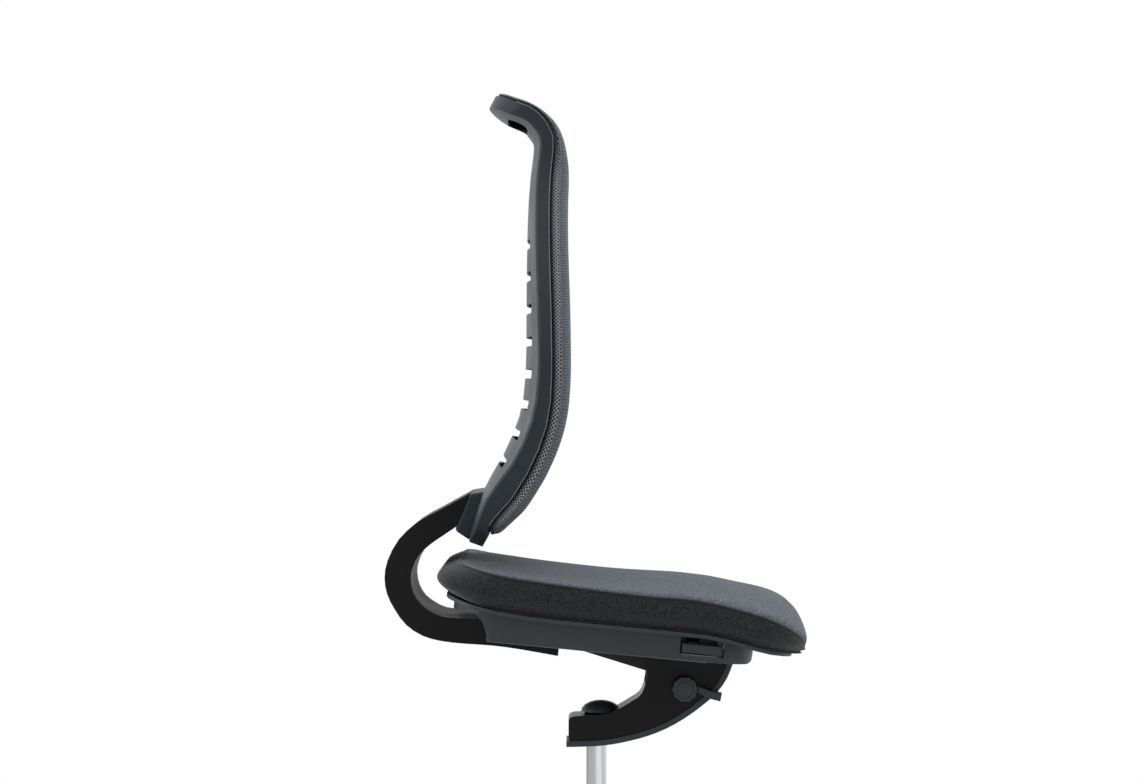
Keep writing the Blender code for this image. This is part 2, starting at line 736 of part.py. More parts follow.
def arm_outline():
    """Side outline of the swan-neck arm, round its head and back along its top."""
    axle = (AXLE_FORWARD, AXLE_Z)
    throat = [(0.0690, 0.1240), (0.0684, 0.1050), (0.0655, 0.0840), (0.0590, 0.0705), (0.0480, 0.0630),
              (0.0360, 0.0556), (0.0250, 0.0500), (0.0120, 0.0455), (-0.009, 0.0432), (-0.030, 0.0425)]
    top = [Vector((x, ARM_BOTTOM + rise)) for x, rise in smooth(throat, 2)]
    head = arc(axle, HEAD_RADIUS, 35, 125, 6)
    rear = [(-0.036, ARM_BOTTOM + 0.0405), (-0.038, ARM_BOTTOM + 0.0365), (-0.038, ARM_BOTTOM + 0.0115)]
    return cover_line() + [(0.1760, ARM_BOTTOM + 0.1290)] + head + top + rear


def build_arm(lift):
    """Hollow swan-neck arm, its lower cover strip, and the cap over the column."""
    floor = offset_line(cover_line(), ARM_FLOOR)
    arm = side_plate("arm_casting", arm_outline(), ARM_WIDTH, LACQUER)
    round_edges(arm, 0.003, 1, 60)
    inside = [p for p in floor if p[0] > 0.042]
    open_top = AXLE_Z + 0.04
    hollow = inside + [(inside[-1][0], open_top), (0.030, open_top), (0.030, ARM_BOTTOM + 0.0900),
                       (0.0710, ARM_BOTTOM + 0.0860), (0.0640, ARM_BOTTOM + 0.0690),
                       (0.0540, ARM_BOTTOM + 0.0610), (inside[0][0], ARM_BOTTOM + 0.0550)]
    cut(arm, side_plate("arm_hollow", hollow, 2 * ARM_INSIDE, cutter=True))
    column = turned("arm_bore", rod_profile(
        TUBE_DIAMETER / 2 + FIT, TUBE_TOP + FIT, ARM_BOTTOM - COVER_THICKNESS),
                    sides=24, cutter=True)
    cut(arm, column)
    pocket_rear = -VALVE_REAR
    pocket_front = ROCKER_FORWARD + ROCKER_HEIGHT / 2 + VALVE_ROOM
    pocket_foot = TUBE_TOP - VALVE_ROOM
    pocket_top = ARM_BOTTOM + 0.06
    cut(arm, block("valve_pocket", (pocket_front - pocket_rear, VALVE_POCKET, pocket_top - pocket_foot),
                   ((pocket_front + pocket_rear) / 2, 0.0, (pocket_top + pocket_foot) / 2), cutter=True))
    (rocker_x, rocker_z), (crank_x, crank_z) = release_eyes()
    start = Vector((rocker_x, ROD_PLANE, rocker_z))
    end = Vector((crank_x, ROD_PLANE, crank_z))
    channel = turned("rod_channel", rod_profile(RELEASE_ROD_DIAMETER / 2 + VALVE_ROOM / 2, inside[0][0], 0.0),
                     sides=12, cutter=True)
    aim_along(channel, start, end)
    channel.location = start
    cut(arm, channel)
    cut(arm, bar_across("lever_bore", LEVER_SHAFT_DIAMETER + 2 * RUN, -2 * ARM_HALF, 0.0,
                        KNOB_FORWARD, KNOB_Z))
    cut(arm, bar_across("spindle_bore", SPINDLE_DIAMETER + 2 * RUN, 0.0, ARM_HALF - SPINDLE_BLIND,
                        KNOB_FORWARD, KNOB_Z))
    cut(arm, bar_across("bush_bore", AXLE_DIAMETER + 2 * BUSH_WALL + 4 * FIT, -2 * ARM_HALF, 2 * ARM_HALF,
                        AXLE_FORWARD, AXLE_Z))
    grip = VALVE_POCKET / 2 + ROCKER_PIN_GRIP + FIT
    cut(arm, bar_across("rocker_pin_bore", ROCKER_PIN_DIAMETER + 2 * FIT, -grip, grip,
                        ROCKER_FORWARD, ROCKER_Z, 10))

    edge = offset_line(cover_line(), -FIT)
    under = offset_line(cover_line(), -COVER_THICKNESS)
    strip = [(-0.041, edge[0][1])] + edge + list(reversed(under)) + [(-0.041, under[0][1])]
    cover = side_plate("arm_cover", strip, COVER_WIDTH, CHARCOAL)
    round_edges(cover, 0.0015, 1, 60)
    cut(cover, column)

    cap_foot = ARM_BOTTOM + 0.0465
    outer = [(CAP_DIAMETER / 2 * math.sin(a), cap_foot + CAP_HEIGHT * math.cos(a))
             for a in (math.pi / 2 * k / 5 for k in range(6))]
    scale = 1 - 2 * CAP_WALL / CAP_DIAMETER
    inner = [(r * scale, cap_foot + (z - cap_foot) * (1 - CAP_WALL / CAP_HEIGHT)) for r, z in reversed(outer)]
    cap = turned("column_cap", outer + inner, CHARCOAL, sides=20)
    cap.location = (CAP_FORWARD, 0.0, 0.0)
    trim = side_plate("cap_seat", offset_arm_top(), 2 * CAP_DIAMETER, cutter=True)
    cut(cap, trim)
    for piece in (arm, cover, cap):
        carry(piece, lift)


def offset_arm_top():
    """The arm's top with a fit gap, as a cutter that seats the cap on it."""
    top = [p for p in arm_outline() if p[0] < 0.062 and p[1] > ARM_BOTTOM + 0.036]
    line = [(p[0], p[1] + FIT * 2) for p in top]
    return line + [(-0.060, ARM_BOTTOM + 0.030), (0.062, ARM_BOTTOM + 0.030)]


def release_eyes():
    """X and Z of the pull rod's two eyes: in the rocker's lower arm and in the crank."""
    return (ROCKER_FORWARD, ROCKER_Z - ROCKER_DROP), (KNOB_FORWARD, KNOB_Z - CRANK_LENGTH)


def aim_along(obj, start, end):
    """Turn a piece made about Z so that its axis runs from start to end."""
    obj.rotation_euler = (end - start).to_track_quat('Z', 'Y').to_euler()


def build_release(lift):
    """Lift lever, its crank, the pull rod and the rocker that presses the column's pin."""
    side = -ARM_HALF - RUN
    hub_face = side - LEVER_HUB_DEPTH
    turn = pivot("lift_lever_turn", (KNOB_FORWARD, 0.0, KNOB_Z), lift)
    crank_side = CRANK_FACE + CRANK_THICKNESS
    hub = LEVER_HUB_DIAMETER / 2
    bore = SPINDLE_DIAMETER / 2 + RUN
    shaft = LEVER_SHAFT_DIAMETER / 2
    lever = turned("lift_lever", [
        (shaft, crank_side), (shaft, side), (hub, side), (hub, hub_face + 0.001), (hub - 0.001, hub_face),
        (bore, hub_face), (bore, crank_side)], CHARCOAL, sides=24, closed=True)
    lie_across(lever, KNOB_FORWARD, 0.0, KNOB_Z)
    paddle_start = KNOB_DIAMETER / 2 + 2 * RUN
    tip_low = LEVER_TIP_DROP - PADDLE_HEIGHT
    grip = [(paddle_start, NECK_TOP - RUN), (LEVER_REACH * 0.7, LEVER_TIP_DROP * 0.5),
            (LEVER_REACH, LEVER_TIP_DROP),
            (LEVER_REACH - PADDLE_HEIGHT * 0.2, tip_low), (LEVER_REACH * 0.7, tip_low * 0.8),
            (paddle_start, NECK_FOOT + RUN)]
    paddle_back = -COVER_WIDTH / 2 - RUN
    paddle = side_plate("paddle", grip, PADDLE_DEPTH, cutter=True, middle=paddle_back - PADDLE_DEPTH / 2)
    neck_line = [(hub * 0.7, NECK_TOP), (paddle_start + RUN, NECK_TOP), (paddle_start + RUN, NECK_FOOT),
                 (hub * 0.7, NECK_FOOT)]
    neck_depth = LEVER_HUB_DEPTH - 4 * RUN
    neck = side_plate("lever_neck", neck_line, neck_depth, cutter=True,
                      middle=side - 2 * RUN - neck_depth / 2)
    for piece in (neck, paddle):
        piece.location = (KNOB_FORWARD, 0.0, KNOB_Z)
        join(lever, piece)

    eye = RELEASE_ROD_DIAMETER + RELEASE_EYE_PLAY
    (rocker_x, rocker_z), (crank_x, crank_z) = release_eyes()
    tongue = CRANK_LENGTH + eye / 2 + 0.0015
    outline = arc((0.0, 0.0), shaft + 0.003, 205, -25, 14) + [(0.0045, -tongue), (-0.0045, -tongue)]
    crank = side_plate("lever_crank", outline, CRANK_THICKNESS, STEEL,
                       middle=CRANK_FACE + CRANK_THICKNESS / 2)
    crank.location = (KNOB_FORWARD, 0.0, KNOB_Z)
    cut(crank, bar_across("crank_bore", 2 * (shaft + FIT), -ARM_HALF, 0.0, KNOB_FORWARD, KNOB_Z))
    cut(crank, bar_across("crank_eye", eye, -ARM_HALF, 0.0, crank_x, crank_z, 10))
    for piece in (lever, crank):
        carry(piece, turn)

    pull = pivot("release_pull", (crank_x, ROD_PLANE, crank_z), lift)
    crank_end = ROD_PLANE - RELEASE_ROD_BEND
    rocker_end = ROD_PLANE + RELEASE_ROD_BEND
    ease = RELEASE_ROD_DIAMETER / 2
    rod = tube("release_rod", [
        (rocker_x, rocker_end, rocker_z), (rocker_x, ROD_PLANE + ease, rocker_z),
        (rocker_x + ease, ROD_PLANE, rocker_z + ease * RELEASE_SLOPE),
        (crank_x - ease, ROD_PLANE, crank_z - ease * RELEASE_SLOPE),
        (crank_x, ROD_PLANE - ease, crank_z), (crank_x, crank_end, crank_z)], RELEASE_ROD_DIAMETER, STEEL)
    carry(rod, pull)

    rock = pivot("rocker_turn", (ROCKER_FORWARD, 0.0, ROCKER_Z), lift)
    half = ROCKER_HEIGHT / 2
    foot = -ROCKER_DROP - eye / 2 - 0.001
    reach = ROCKER_FORWARD + PIN_DIAMETER / 2 + 0.001
    bell = [(-reach, -half), (-half, -half), (-half, foot), (half, foot), (half, half), (-reach, half)]
    rocker_side = ROD_PLANE + RELEASE_ROD_DIAMETER / 2 + RUN
    rocker = side_plate("release_rocker", bell, ROCKER_WIDTH, STEEL, middle=rocker_side + ROCKER_WIDTH / 2)
    rocker.location = (ROCKER_FORWARD, 0.0, ROCKER_Z)
    cut(rocker, bar_across("rocker_bore", ROCKER_PIN_DIAMETER + 2 * FIT, -ARM_HALF, ARM_HALF,
                           ROCKER_FORWARD, ROCKER_Z, 10))
    cut(rocker, bar_across("rocker_eye", eye, -ARM_HALF, ARM_HALF, rocker_x, rocker_z, 10))
    carry(rocker, rock)
    grip = VALVE_POCKET / 2 + ROCKER_PIN_GRIP
    pin = turned("rocker_pin", rod_profile(ROCKER_PIN_DIAMETER / 2, grip, -grip), STEEL, sides=10)
    lie_across(pin, ROCKER_FORWARD, 0.0, ROCKER_Z)
    carry(pin, lift)


def build_tension(lift):
    """Scalloped knob on a spindle, which turns in a nut held inside the arm."""
    face = -ARM_HALF - RUN - LEVER_HUB_DEPTH - RUN
    turn = pivot("tension_turn", (KNOB_FORWARD, 0.0, KNOB_Z), lift)
    rim = []
    steps = KNOB_LOBES * 4
    for k in range(steps):
        angle = 2 * math.pi * k / steps
        radius = KNOB_DIAMETER / 2 - KNOB_LOBE_DEPTH * (1 - math.cos(KNOB_LOBES * angle)) / 2
        rim.append((radius * math.cos(angle), radius * math.sin(angle)))
    knob = side_plate("tension_knob", rim, KNOB_DEPTH, CHARCOAL, middle=face - KNOB_DEPTH / 2)
    round_edges(knob, 0.0015, 1, 50)
    knob.location = (KNOB_FORWARD, 0.0, KNOB_Z)
    radius = SPINDLE_DIAMETER / 2
    blind = face - KNOB_DEPTH * 0.6
    cut(knob, bar_across("knob_bore", SPINDLE_DIAMETER + 2 * FIT, blind, 0.0, KNOB_FORWARD, KNOB_Z, 16))
    spindle_end = ARM_HALF - SPINDLE_BLIND - FIT
    spindle = turned("tension_spindle", rod_profile(radius, spindle_end, blind + FIT), STEEL, sides=16)
    lie_across(spindle, KNOB_FORWARD, 0.0, KNOB_Z)
    for piece in (knob, spindle):
        carry(piece, turn)
    nut = block("tension_nut", (NUT_LENGTH, NUT_LENGTH, NUT_HEIGHT), (KNOB_FORWARD, NUT_SHIFT, KNOB_Z), BRASS)
    round_edges(nut, 0.0015, 1)
    cut(nut, bar_across("nut_bore", SPINDLE_DIAMETER + 2 * FIT, -ARM_HALF, ARM_HALF,
                        KNOB_FORWARD, KNOB_Z, 16))
    carry(nut, lift)


def build_axle(lift):
    """Tilt axle through the carrier's ears, and its two bushes in the arm's cheeks."""
    radius = AXLE_DIAMETER / 2
    end = EAR_OUTSIDE
    edge = end - AXLE_CHAMFER
    axle = turned("tilt_axle", [(0.0, end), (radius - AXLE_CHAMFER, end), (radius, edge), (radius, -edge),
                                (radius - AXLE_CHAMFER, -end), (0.0, -end)], STEEL, sides=24)
    lie_across(axle, AXLE_FORWARD, 0.0, AXLE_Z)
    carry(axle, lift)
    for side, sign in (("left", 1), ("right", -1)):
        bush = turned("axle_bush_" + side, ring_profile(
            radius + FIT, radius + FIT + BUSH_WALL, ARM_WALL / 2, -ARM_WALL / 2),
            BRASS, sides=24, closed=True)
        lie_across(bush, AXLE_FORWARD, sign * (ARM_HALF - ARM_WALL / 2), AXLE_Z)
        carry(bush, lift)


def build_springs(tilt):
    """Two torsion springs on the axle: one leg under the carrier plate, one at the arm's front wall."""
    least = []
    wire = SPRING_WIRE / 2
    plate_x, plate_z = seat_to_world(HOUSING_FRONT + SPRING_WIRE, PLATE_UNDER - wire - 2 * FIT)
    edge_x, edge_z = seat_to_world(WINDOW_REAR + SPRING_WIRE, PLATE_UNDER - wire - 2 * FIT)
    wall = arm_front_wall(AXLE_Z - SPRING_LEG_DROP) - wire - 2 * FIT
    for side, sign in (("left", 1), ("right", -1)):
        inner = sign * (SPRING_PITCH / 2 + SPRING_WIRE / 2)
        path = [Vector((plate_x, inner, plate_z)), Vector((edge_x, inner, edge_z))]
        coil = []
        count = int((SPRING_TURNS + 0.25) * SPRING_POINTS)
        for k in range(count + 1):
            angle = math.pi / 2 - 2 * math.pi * k / SPRING_POINTS
            shift = inner + sign * SPRING_PITCH * k / SPRING_POINTS
            coil.append(Vector((AXLE_FORWARD + SPRING_RADIUS * math.cos(angle), shift,
                                AXLE_Z + SPRING_RADIUS * math.sin(angle))))
        path += coil
        path.append(Vector((wall, coil[-1].y, AXLE_Z - SPRING_LEG_DROP)))
        spring = tube("torsion_spring_" + side, path, SPRING_WIRE, STEEL)
        carry(spring, tilt)
        for i, point in enumerate(coil):
            for other in coil[i + SPRING_POINTS // 2:]:
                least.append((point - other).length - SPRING_WIRE)
    print("least gap of the torsion springs to themselves: %.2f mm" % (min(least) * 1000))


def arm_front_wall(z):
    """X of the inner face of the arm's front wall at a height."""
    line = offset_line(cover_line(), ARM_FLOOR)
    for low, high in zip(line, line[1:]):
        if low.y <= z <= high.y:
            return low.x + (high.x - low.x) * (z - low.y) / (high.y - low.y)
    return line[-1].x


def rounded_rectangle(rear, front, half, corner, steps=4):
    """A rectangle in plan with round corners, from its rear to its front."""
    points = arc((front - corner, half - corner), corner, 90, 0, steps)
    points += arc((front - corner, -half + corner), corner, 0, -90, steps)
    points += arc((rear + corner, -half + corner), corner, -90, -180, steps)
    return points + arc((rear + corner, half - corner), corner, 180, 90, steps)


def build_carrier(tilt):
    """Plate with a window for the arm's head, two ears on the axle, slide rails and the spring housing."""
    plate_mid = -PLATE_DROP - PLATE_THICKNESS / 2
    plan = rounded_rectangle(PLATE_REAR, PLATE_FRONT, PLATE_WIDTH / 2, PLATE_CORNER)
    mesh = outline_mesh(plan, PLATE_THICKNESS)
    mesh.transform(Matrix.Translation((0, 0, plate_mid)))
    carrier = in_seat_frame(add("seat_carrier", mesh, LACQUER))
    axle_along, axle_above = world_to_seat(AXLE_FORWARD, AXLE_Z)
    top = -PLATE_DROP - PLATE_THICKNESS / 2
    outline = arc((axle_along, axle_above), EAR_RADIUS, 180, 360, 10)
    outline += [(axle_along + EAR_RADIUS + 0.010, top), (axle_along - EAR_RADIUS - 0.010, top)]
    window_half = EAR_INSIDE
    window = block("window", (WINDOW_FRONT - WINDOW_REAR, 2 * window_half, 4 * PLATE_THICKNESS),
                   ((WINDOW_FRONT + WINDOW_REAR) / 2, 0.0, plate_mid), cutter=True)
    cut(carrier, in_seat_frame(window))
    for side, sign in (("left", 1), ("right", -1)):
        ear = side_plate("ear_" + side, outline, EAR_THICKNESS, cutter=True,
                         middle=sign * (EAR_INSIDE + EAR_THICKNESS / 2))
        join(carrier, in_seat_frame(ear))
        pad_top = PLATE_UNDER + PLATE_THICKNESS / 2
        pad_foot = PLATE_UNDER - ARMREST_PAD_HEIGHT
        pad = block("armrest_pad_" + side, (ARMREST_PAD_LENGTH, ARMREST_PAD_WIDTH, pad_top - pad_foot),
                    (ARMREST_FORWARD, sign * ARMREST_OFFSET, (pad_top + pad_foot) / 2), cutter=True)
        join(carrier, in_seat_frame(pad))
    bore = bar_across("ear_bore", AXLE_DIAMETER + 2 * FIT, -EAR_OUTSIDE - RUN, EAR_OUTSIDE + RUN,
                      AXLE_FORWARD, AXLE_Z)
    cut(carrier, bore)
    carry(carrier, tilt)

    rail_foot = -PLATE_DROP + FIT
    half = RAIL_WIDTH / 2
    mouth = RUNNER_WEB / 2 + RUN
    room = RUNNER_WIDTH / 2 + RUN
    top = rail_foot + RAIL_HEIGHT
    section = [(-half, rail_foot), (half, rail_foot), (half, top), (mouth, top), (mouth, top - RAIL_WALL),
               (room, top - RAIL_WALL), (room, rail_foot + RAIL_WALL), (-room, rail_foot + RAIL_WALL),
               (-room, top - RAIL_WALL), (-mouth, top - RAIL_WALL), (-mouth, top), (-half, top)]
    for side, sign in (("left", 1), ("right", -1)):
        mesh = outline_mesh(section, RAIL_LENGTH)
        stand = Matrix.Rotation(math.pi / 2, 4, 'Z') @ Matrix.Rotation(math.pi / 2, 4, 'X')
        mesh.transform(Matrix.Translation((RAIL_REAR + RAIL_LENGTH / 2, sign * RAIL_OFFSET, 0)) @ stand)
        rail = in_seat_frame(add("slide_rail_" + side, mesh, NYLON))
        carry(rail, tilt)

    rear = world_to_seat(HOUSING_REAR, SEAT_Z)[0]
    under = PLATE_UNDER - FIT
    rear_low = world_to_seat(HOUSING_REAR, ARM_BOTTOM + 0.131)
    low = world_to_seat(0.066, ARM_BOTTOM + 0.104)
    outline = [(rear, under), rear_low, low, (HOUSING_FRONT, low[1]), (HOUSING_FRONT, under)]
    housing = side_plate("spring_housing", outline, HOUSING_WIDTH, NYLON)
    round_edges(housing, 0.002, 1, 50)
    inner = [(rear + 4 * HOUSING_WALL, under + 0.01), (rear + 4 * HOUSING_WALL, under - HOUSING_WALL),
             (low[0] - HOUSING_WALL, low[1] + HOUSING_WALL),
             (HOUSING_FRONT - HOUSING_WALL, low[1] + HOUSING_WALL),
             (HOUSING_FRONT - HOUSING_WALL, under + 0.01)]
    tray = side_plate("housing_tray", inner, HOUSING_WIDTH - 2 * HOUSING_WALL, cutter=True)
    cut(housing, in_seat_frame(tray))
    carry(in_seat_frame(housing), tilt)


PAN_LINE = ((-0.217, 0.0240), (-0.196, 0.0160), (-0.165, 0.0085), (-0.132, 0.0040), (-0.092, 0.0010),
            (-0.050, 0.0), (0.020, 0.0), (0.090, 0.0), (0.140, -0.0005), (0.170, -0.0035), (0.200, -0.0095),
            (0.230, -0.0145), (0.258, -0.0165), (0.290, -0.0170))


SEAM_LINE = ((-0.217, 0.0320), (-0.213, 0.0410), (-0.202, 0.0500), (-0.184, 0.0530), (-0.154, 0.0490),
             (-0.113, 0.0440), (-0.053, 0.0420), (0.020, 0.0410), (0.076, 0.0420), (0.109, 0.0430),
             (0.142, 0.0410), (0.182, 0.0350), (0.216, 0.0280), (0.243, 0.0180), (0.260, 0.0070),
             (0.272, -0.0030), (0.281, -0.0090))
TOP_LINE = ((-0.217, 0.0350), (-0.213, 0.0480), (-0.202, 0.0600), (-0.180, 0.0645), (-0.138, 0.0645),
            (-0.097, 0.0620), (-0.056, 0.0610), (0.027, 0.0605), (0.109, 0.0625), (0.150, 0.0620),
            (0.171, 0.0600), (0.192, 0.0565), (0.212, 0.0540), (0.236, 0.0490), (0.255, 0.0415),
            (0.264, 0.0350), (0.273, 0.0240), (0.278, 0.0130), (0.281, 0.0010))


def height_on(line, along):
    """Height of a line of (along, height) points over the seat plane."""
    for (x0, z0), (x1, z1) in zip(line, line[1:]):
        if along <= x1:
            return z0 + (z1 - z0) * (along - x0) / (x1 - x0)
    return line[-1][1]


def pan_height(along):
    """Height of the pan's top over the seat plane: raised at the rear, dropped at the front edge."""
    return height_on(PAN_LINE, along)


def plan_half(along, rear, front, half, corner):
    """Half width of a rounded plan at a place along it."""
    inset = 0.0
    if along < rear + corner:
        inset = rear + corner - along
    if along > front - corner:
        inset = along - (front - corner)
    inset = min(inset, corner)
    return half - corner + math.sqrt(max(corner * corner - inset * inset, 0.0))


def seat_stations(rear, front, corner):
    """Places along the seat for lofts: close together in the round corners."""
    turns = (0.0, 0.05, 0.2, 0.45, 0.75)
    places = [rear + corner * t for t in turns]
    places += [x for x, _ in PAN_LINE if rear + corner * 0.9 < x < front - corner * 0.9]
    return places + [front - corner * t for t in reversed(turns)]


def build_pan(slide):
    """Seat pan: a thin rimmed floor with a skirt, runners for the rails and a recess for the handle."""
    rings = []
    half = PAN_WIDTH / 2
    for along in seat_stations(PAN_REAR, PAN_FRONT, PAN_CORNER):
        wide = max(plan_half(along, PAN_REAR, PAN_FRONT, half, PAN_CORNER), 0.02)
        top = pan_height(along)
        rings.append([(along, -wide, top), (along, wide, top), (along, wide, top - PAN_FLOOR),
                      (along, -wide, top - PAN_FLOOR)])
    pan = loft("seat_pan", rings, CHARCOAL)
    outer = rounded_rectangle(PAN_SKIRT_REAR, PAN_SKIRT_FRONT, PAN_SKIRT_WIDTH / 2, PAN_CORNER, 6)
    inner = rounded_rectangle(PAN_SKIRT_REAR + PAN_WALL, PAN_SKIRT_FRONT - PAN_WALL,
                              PAN_SKIRT_WIDTH / 2 - PAN_WALL, PAN_CORNER - PAN_WALL, 6)
    depth = PAN_DEPTH + PAN_SKIRT_TOP
    mid = PAN_SKIRT_TOP - depth / 2
    mesh = outline_mesh(outer, depth)
    mesh.transform(Matrix.Translation((0, 0, mid)))
    skirt = in_seat_frame(add("skirt", mesh, cutter=True))
    mesh = outline_mesh(inner, 2 * depth)
    mesh.transform(Matrix.Translation((0, 0, mid)))
    cut(skirt, in_seat_frame(add("skirt_inside", mesh, cutter=True)))
    over = [(x, pan_height(x) - PAN_FLOOR / 2) for x, _ in PAN_LINE]
    above = over + [(PAN_LINE[-1][0], PAN_DEPTH), (PAN_LINE[0][0], PAN_DEPTH)]
    cut(skirt, in_seat_frame(side_plate("skirt_over", above, 2 * PAN_WIDTH, cutter=True)))
    heel = smooth([(-0.1600, -0.0030), (-0.1500, -0.0125), (-0.1440, -0.0250),
                   (-0.1400, -PAN_DEPTH - 0.002)], 3)
    heel = [(p[0], p[1]) for p in heel] + [(-0.300, -PAN_DEPTH - 0.002), (-0.300, -0.0030)]
    cut(skirt, in_seat_frame(side_plate("skirt_heel", heel, 2 * PAN_WIDTH, cutter=True)))
    chin = arc((PAN_SKIRT_FRONT - PAN_CHIN, -PAN_DEPTH + PAN_CHIN), PAN_CHIN, -90, 0, 5)
    chin = chin + [(PAN_SKIRT_FRONT + 0.02, -PAN_DEPTH + PAN_CHIN),
                   (PAN_SKIRT_FRONT + 0.02, -PAN_DEPTH - 0.01),
                   (PAN_SKIRT_FRONT - PAN_CHIN, -PAN_DEPTH - 0.01)]
    cut(skirt, in_seat_frame(side_plate("skirt_chin", chin, 2 * PAN_WIDTH, cutter=True)))
    join(pan, skirt)
    flange_foot = -PLATE_DROP + FIT + RAIL_WALL + RUN
    for side, sign in (("left", 1), ("right", -1)):
        y = sign * RAIL_OFFSET
        web_top = -PAN_FLOOR / 2
        runner_mid = RAIL_REAR + RUNNER_LENGTH / 2
        web = block("runner_web_" + side, (RUNNER_LENGTH, RUNNER_WEB, web_top - flange_foot),
                    (runner_mid, y, (web_top + flange_foot) / 2), cutter=True)
        flange = block("runner_flange_" + side, (RUNNER_LENGTH, RUNNER_WIDTH, RUNNER_FLANGE),
                       (runner_mid, y, flange_foot + RUNNER_FLANGE / 2), cutter=True)
        join(pan, in_seat_frame(web))
        join(pan, in_seat_frame(flange))
    recess_mid = -PAN_FLOOR - RECESS_DROP - RECESS_HEIGHT / 2
    opening = block("recess", (RECESS_LENGTH, 4 * PAN_WALL, RECESS_HEIGHT),
                    (RECESS_FORWARD, -PAN_SKIRT_WIDTH / 2, recess_mid), cutter=True)
    round_edges(opening, RECESS_EDGE, 2)
    cut(pan, in_seat_frame(opening))
    carry(in_seat_frame(pan), slide)

    release_place = seat_place(RECESS_FORWARD, -PAN_SKIRT_WIDTH / 2, recess_mid)
    release = pivot("depth_release", release_place, slide, SEAT_PITCH)
    foot = recess_mid - RECESS_HEIGHT / 2 + RUN
    handle = block("depth_handle", (HANDLE_LENGTH, HANDLE_THICKNESS, HANDLE_HEIGHT),
                   (RECESS_FORWARD, -PAN_SKIRT_WIDTH / 2 + HANDLE_THICKNESS / 2, foot + HANDLE_HEIGHT / 2),
                   CHARCOAL)
    round_edges(handle, RECESS_EDGE + RUN, 2)
    handle_back = -PAN_SKIRT_WIDTH / 2 + HANDLE_THICKNESS + FIT
    rail_side = -RAIL_OFFSET - RAIL_WIDTH / 2
    latch_end = rail_side - RUN
    latch_along = RECESS_FORWARD - HANDLE_LENGTH / 2 + LATCH_WIDTH
    latch_above = -PLATE_DROP + RUN + LATCH_THICKNESS / 2
    latch = block("depth_latch", (LATCH_WIDTH, latch_end - handle_back, LATCH_THICKNESS),
                  (latch_along, (latch_end + handle_back) / 2, latch_above), STEEL)
    for piece in (handle, latch):
        carry(in_seat_frame(piece), release)


def seat_place(along, across, above):
    """World place of a point in the seat's own frame."""
    x, z = seat_to_world(along, above)
    return x, across, z


def build_seat_cushion(slide):
    """Seat cushion: flat foot on the pan, a border drawn in at mid height, and a crowned top."""
    rings = []
    half = SEAT_WIDTH / 2
    stations = seat_stations(SEAT_REAR, SEAT_FRONT, SEAT_CORNER)
    for along in stations:
        wide = plan_half(along, SEAT_REAR, SEAT_FRONT, half, SEAT_CORNER)
        depth = min(along - SEAT_REAR, SEAT_FRONT - along)
        ease = math.sqrt(max(1 - (1 - min(depth / SEAT_NOSE, 1.0)) ** 2, 0.0))
        seam = height_on(SEAM_LINE, along)
        rise = height_on(TOP_LINE, along) - seam
        low = pan_height(along) + FIT + (SEAT_HEEL_LIFT if along < 0 else SEAT_NOSE_LIFT) * (1 - ease)
        wide = max(wide * (0.9 + 0.1 * ease), 0.05)
        belly = wide - SEAT_DRAW_IN
        mid = (low + seam) / 2
        right = [(wide - 0.006, low), (wide, low + 0.004), (belly, mid), (wide, seam)]
        crown = [(wide * f, seam + rise * (1 - f ** 2.6)) for f in (0.93, 0.8, 0.6, 0.3)]
        side = right + crown
        ring = [(along, y, z) for y, z in side] + [(along, 0.0, seam + rise)]
        ring += [(along, -y, z) for y, z in reversed(side)]
        rings.append(ring)
    cushion = loft("seat_cushion", rings, FABRIC)
    carry(in_seat_frame(cushion), slide)


BACK_LINE = ((-0.1680, 0.1020), (-0.1460, 0.1598), (-0.1085, 0.2115), (-0.0865, 0.2633), (-0.0785, 0.3180),
             (-0.0785, 0.3900), (-0.0815, 0.5005), (-0.0812, 0.5740), (-0.0768, 0.6220), (-0.0770, 0.6390),
             (-0.0815, 0.6480), (-0.0870, 0.6550), (-0.0935, 0.6613), (-0.1030, 0.6660), (-0.1162, 0.6710),
             (-0.1302, 0.6783), (-0.1451, 0.6862))


def back_stations():
    """Points and arc lengths along the shell's rear corner line, from its foot to the handle's tip."""
    line = [Vector((x, SEAT_Z + rise)) for x, rise in smooth(BACK_LINE, 4)]
    lengths = [0.0]
    for a, b in zip(line, line[1:]):
        lengths.append(lengths[-1] + (b - a).length)
    return line, lengths


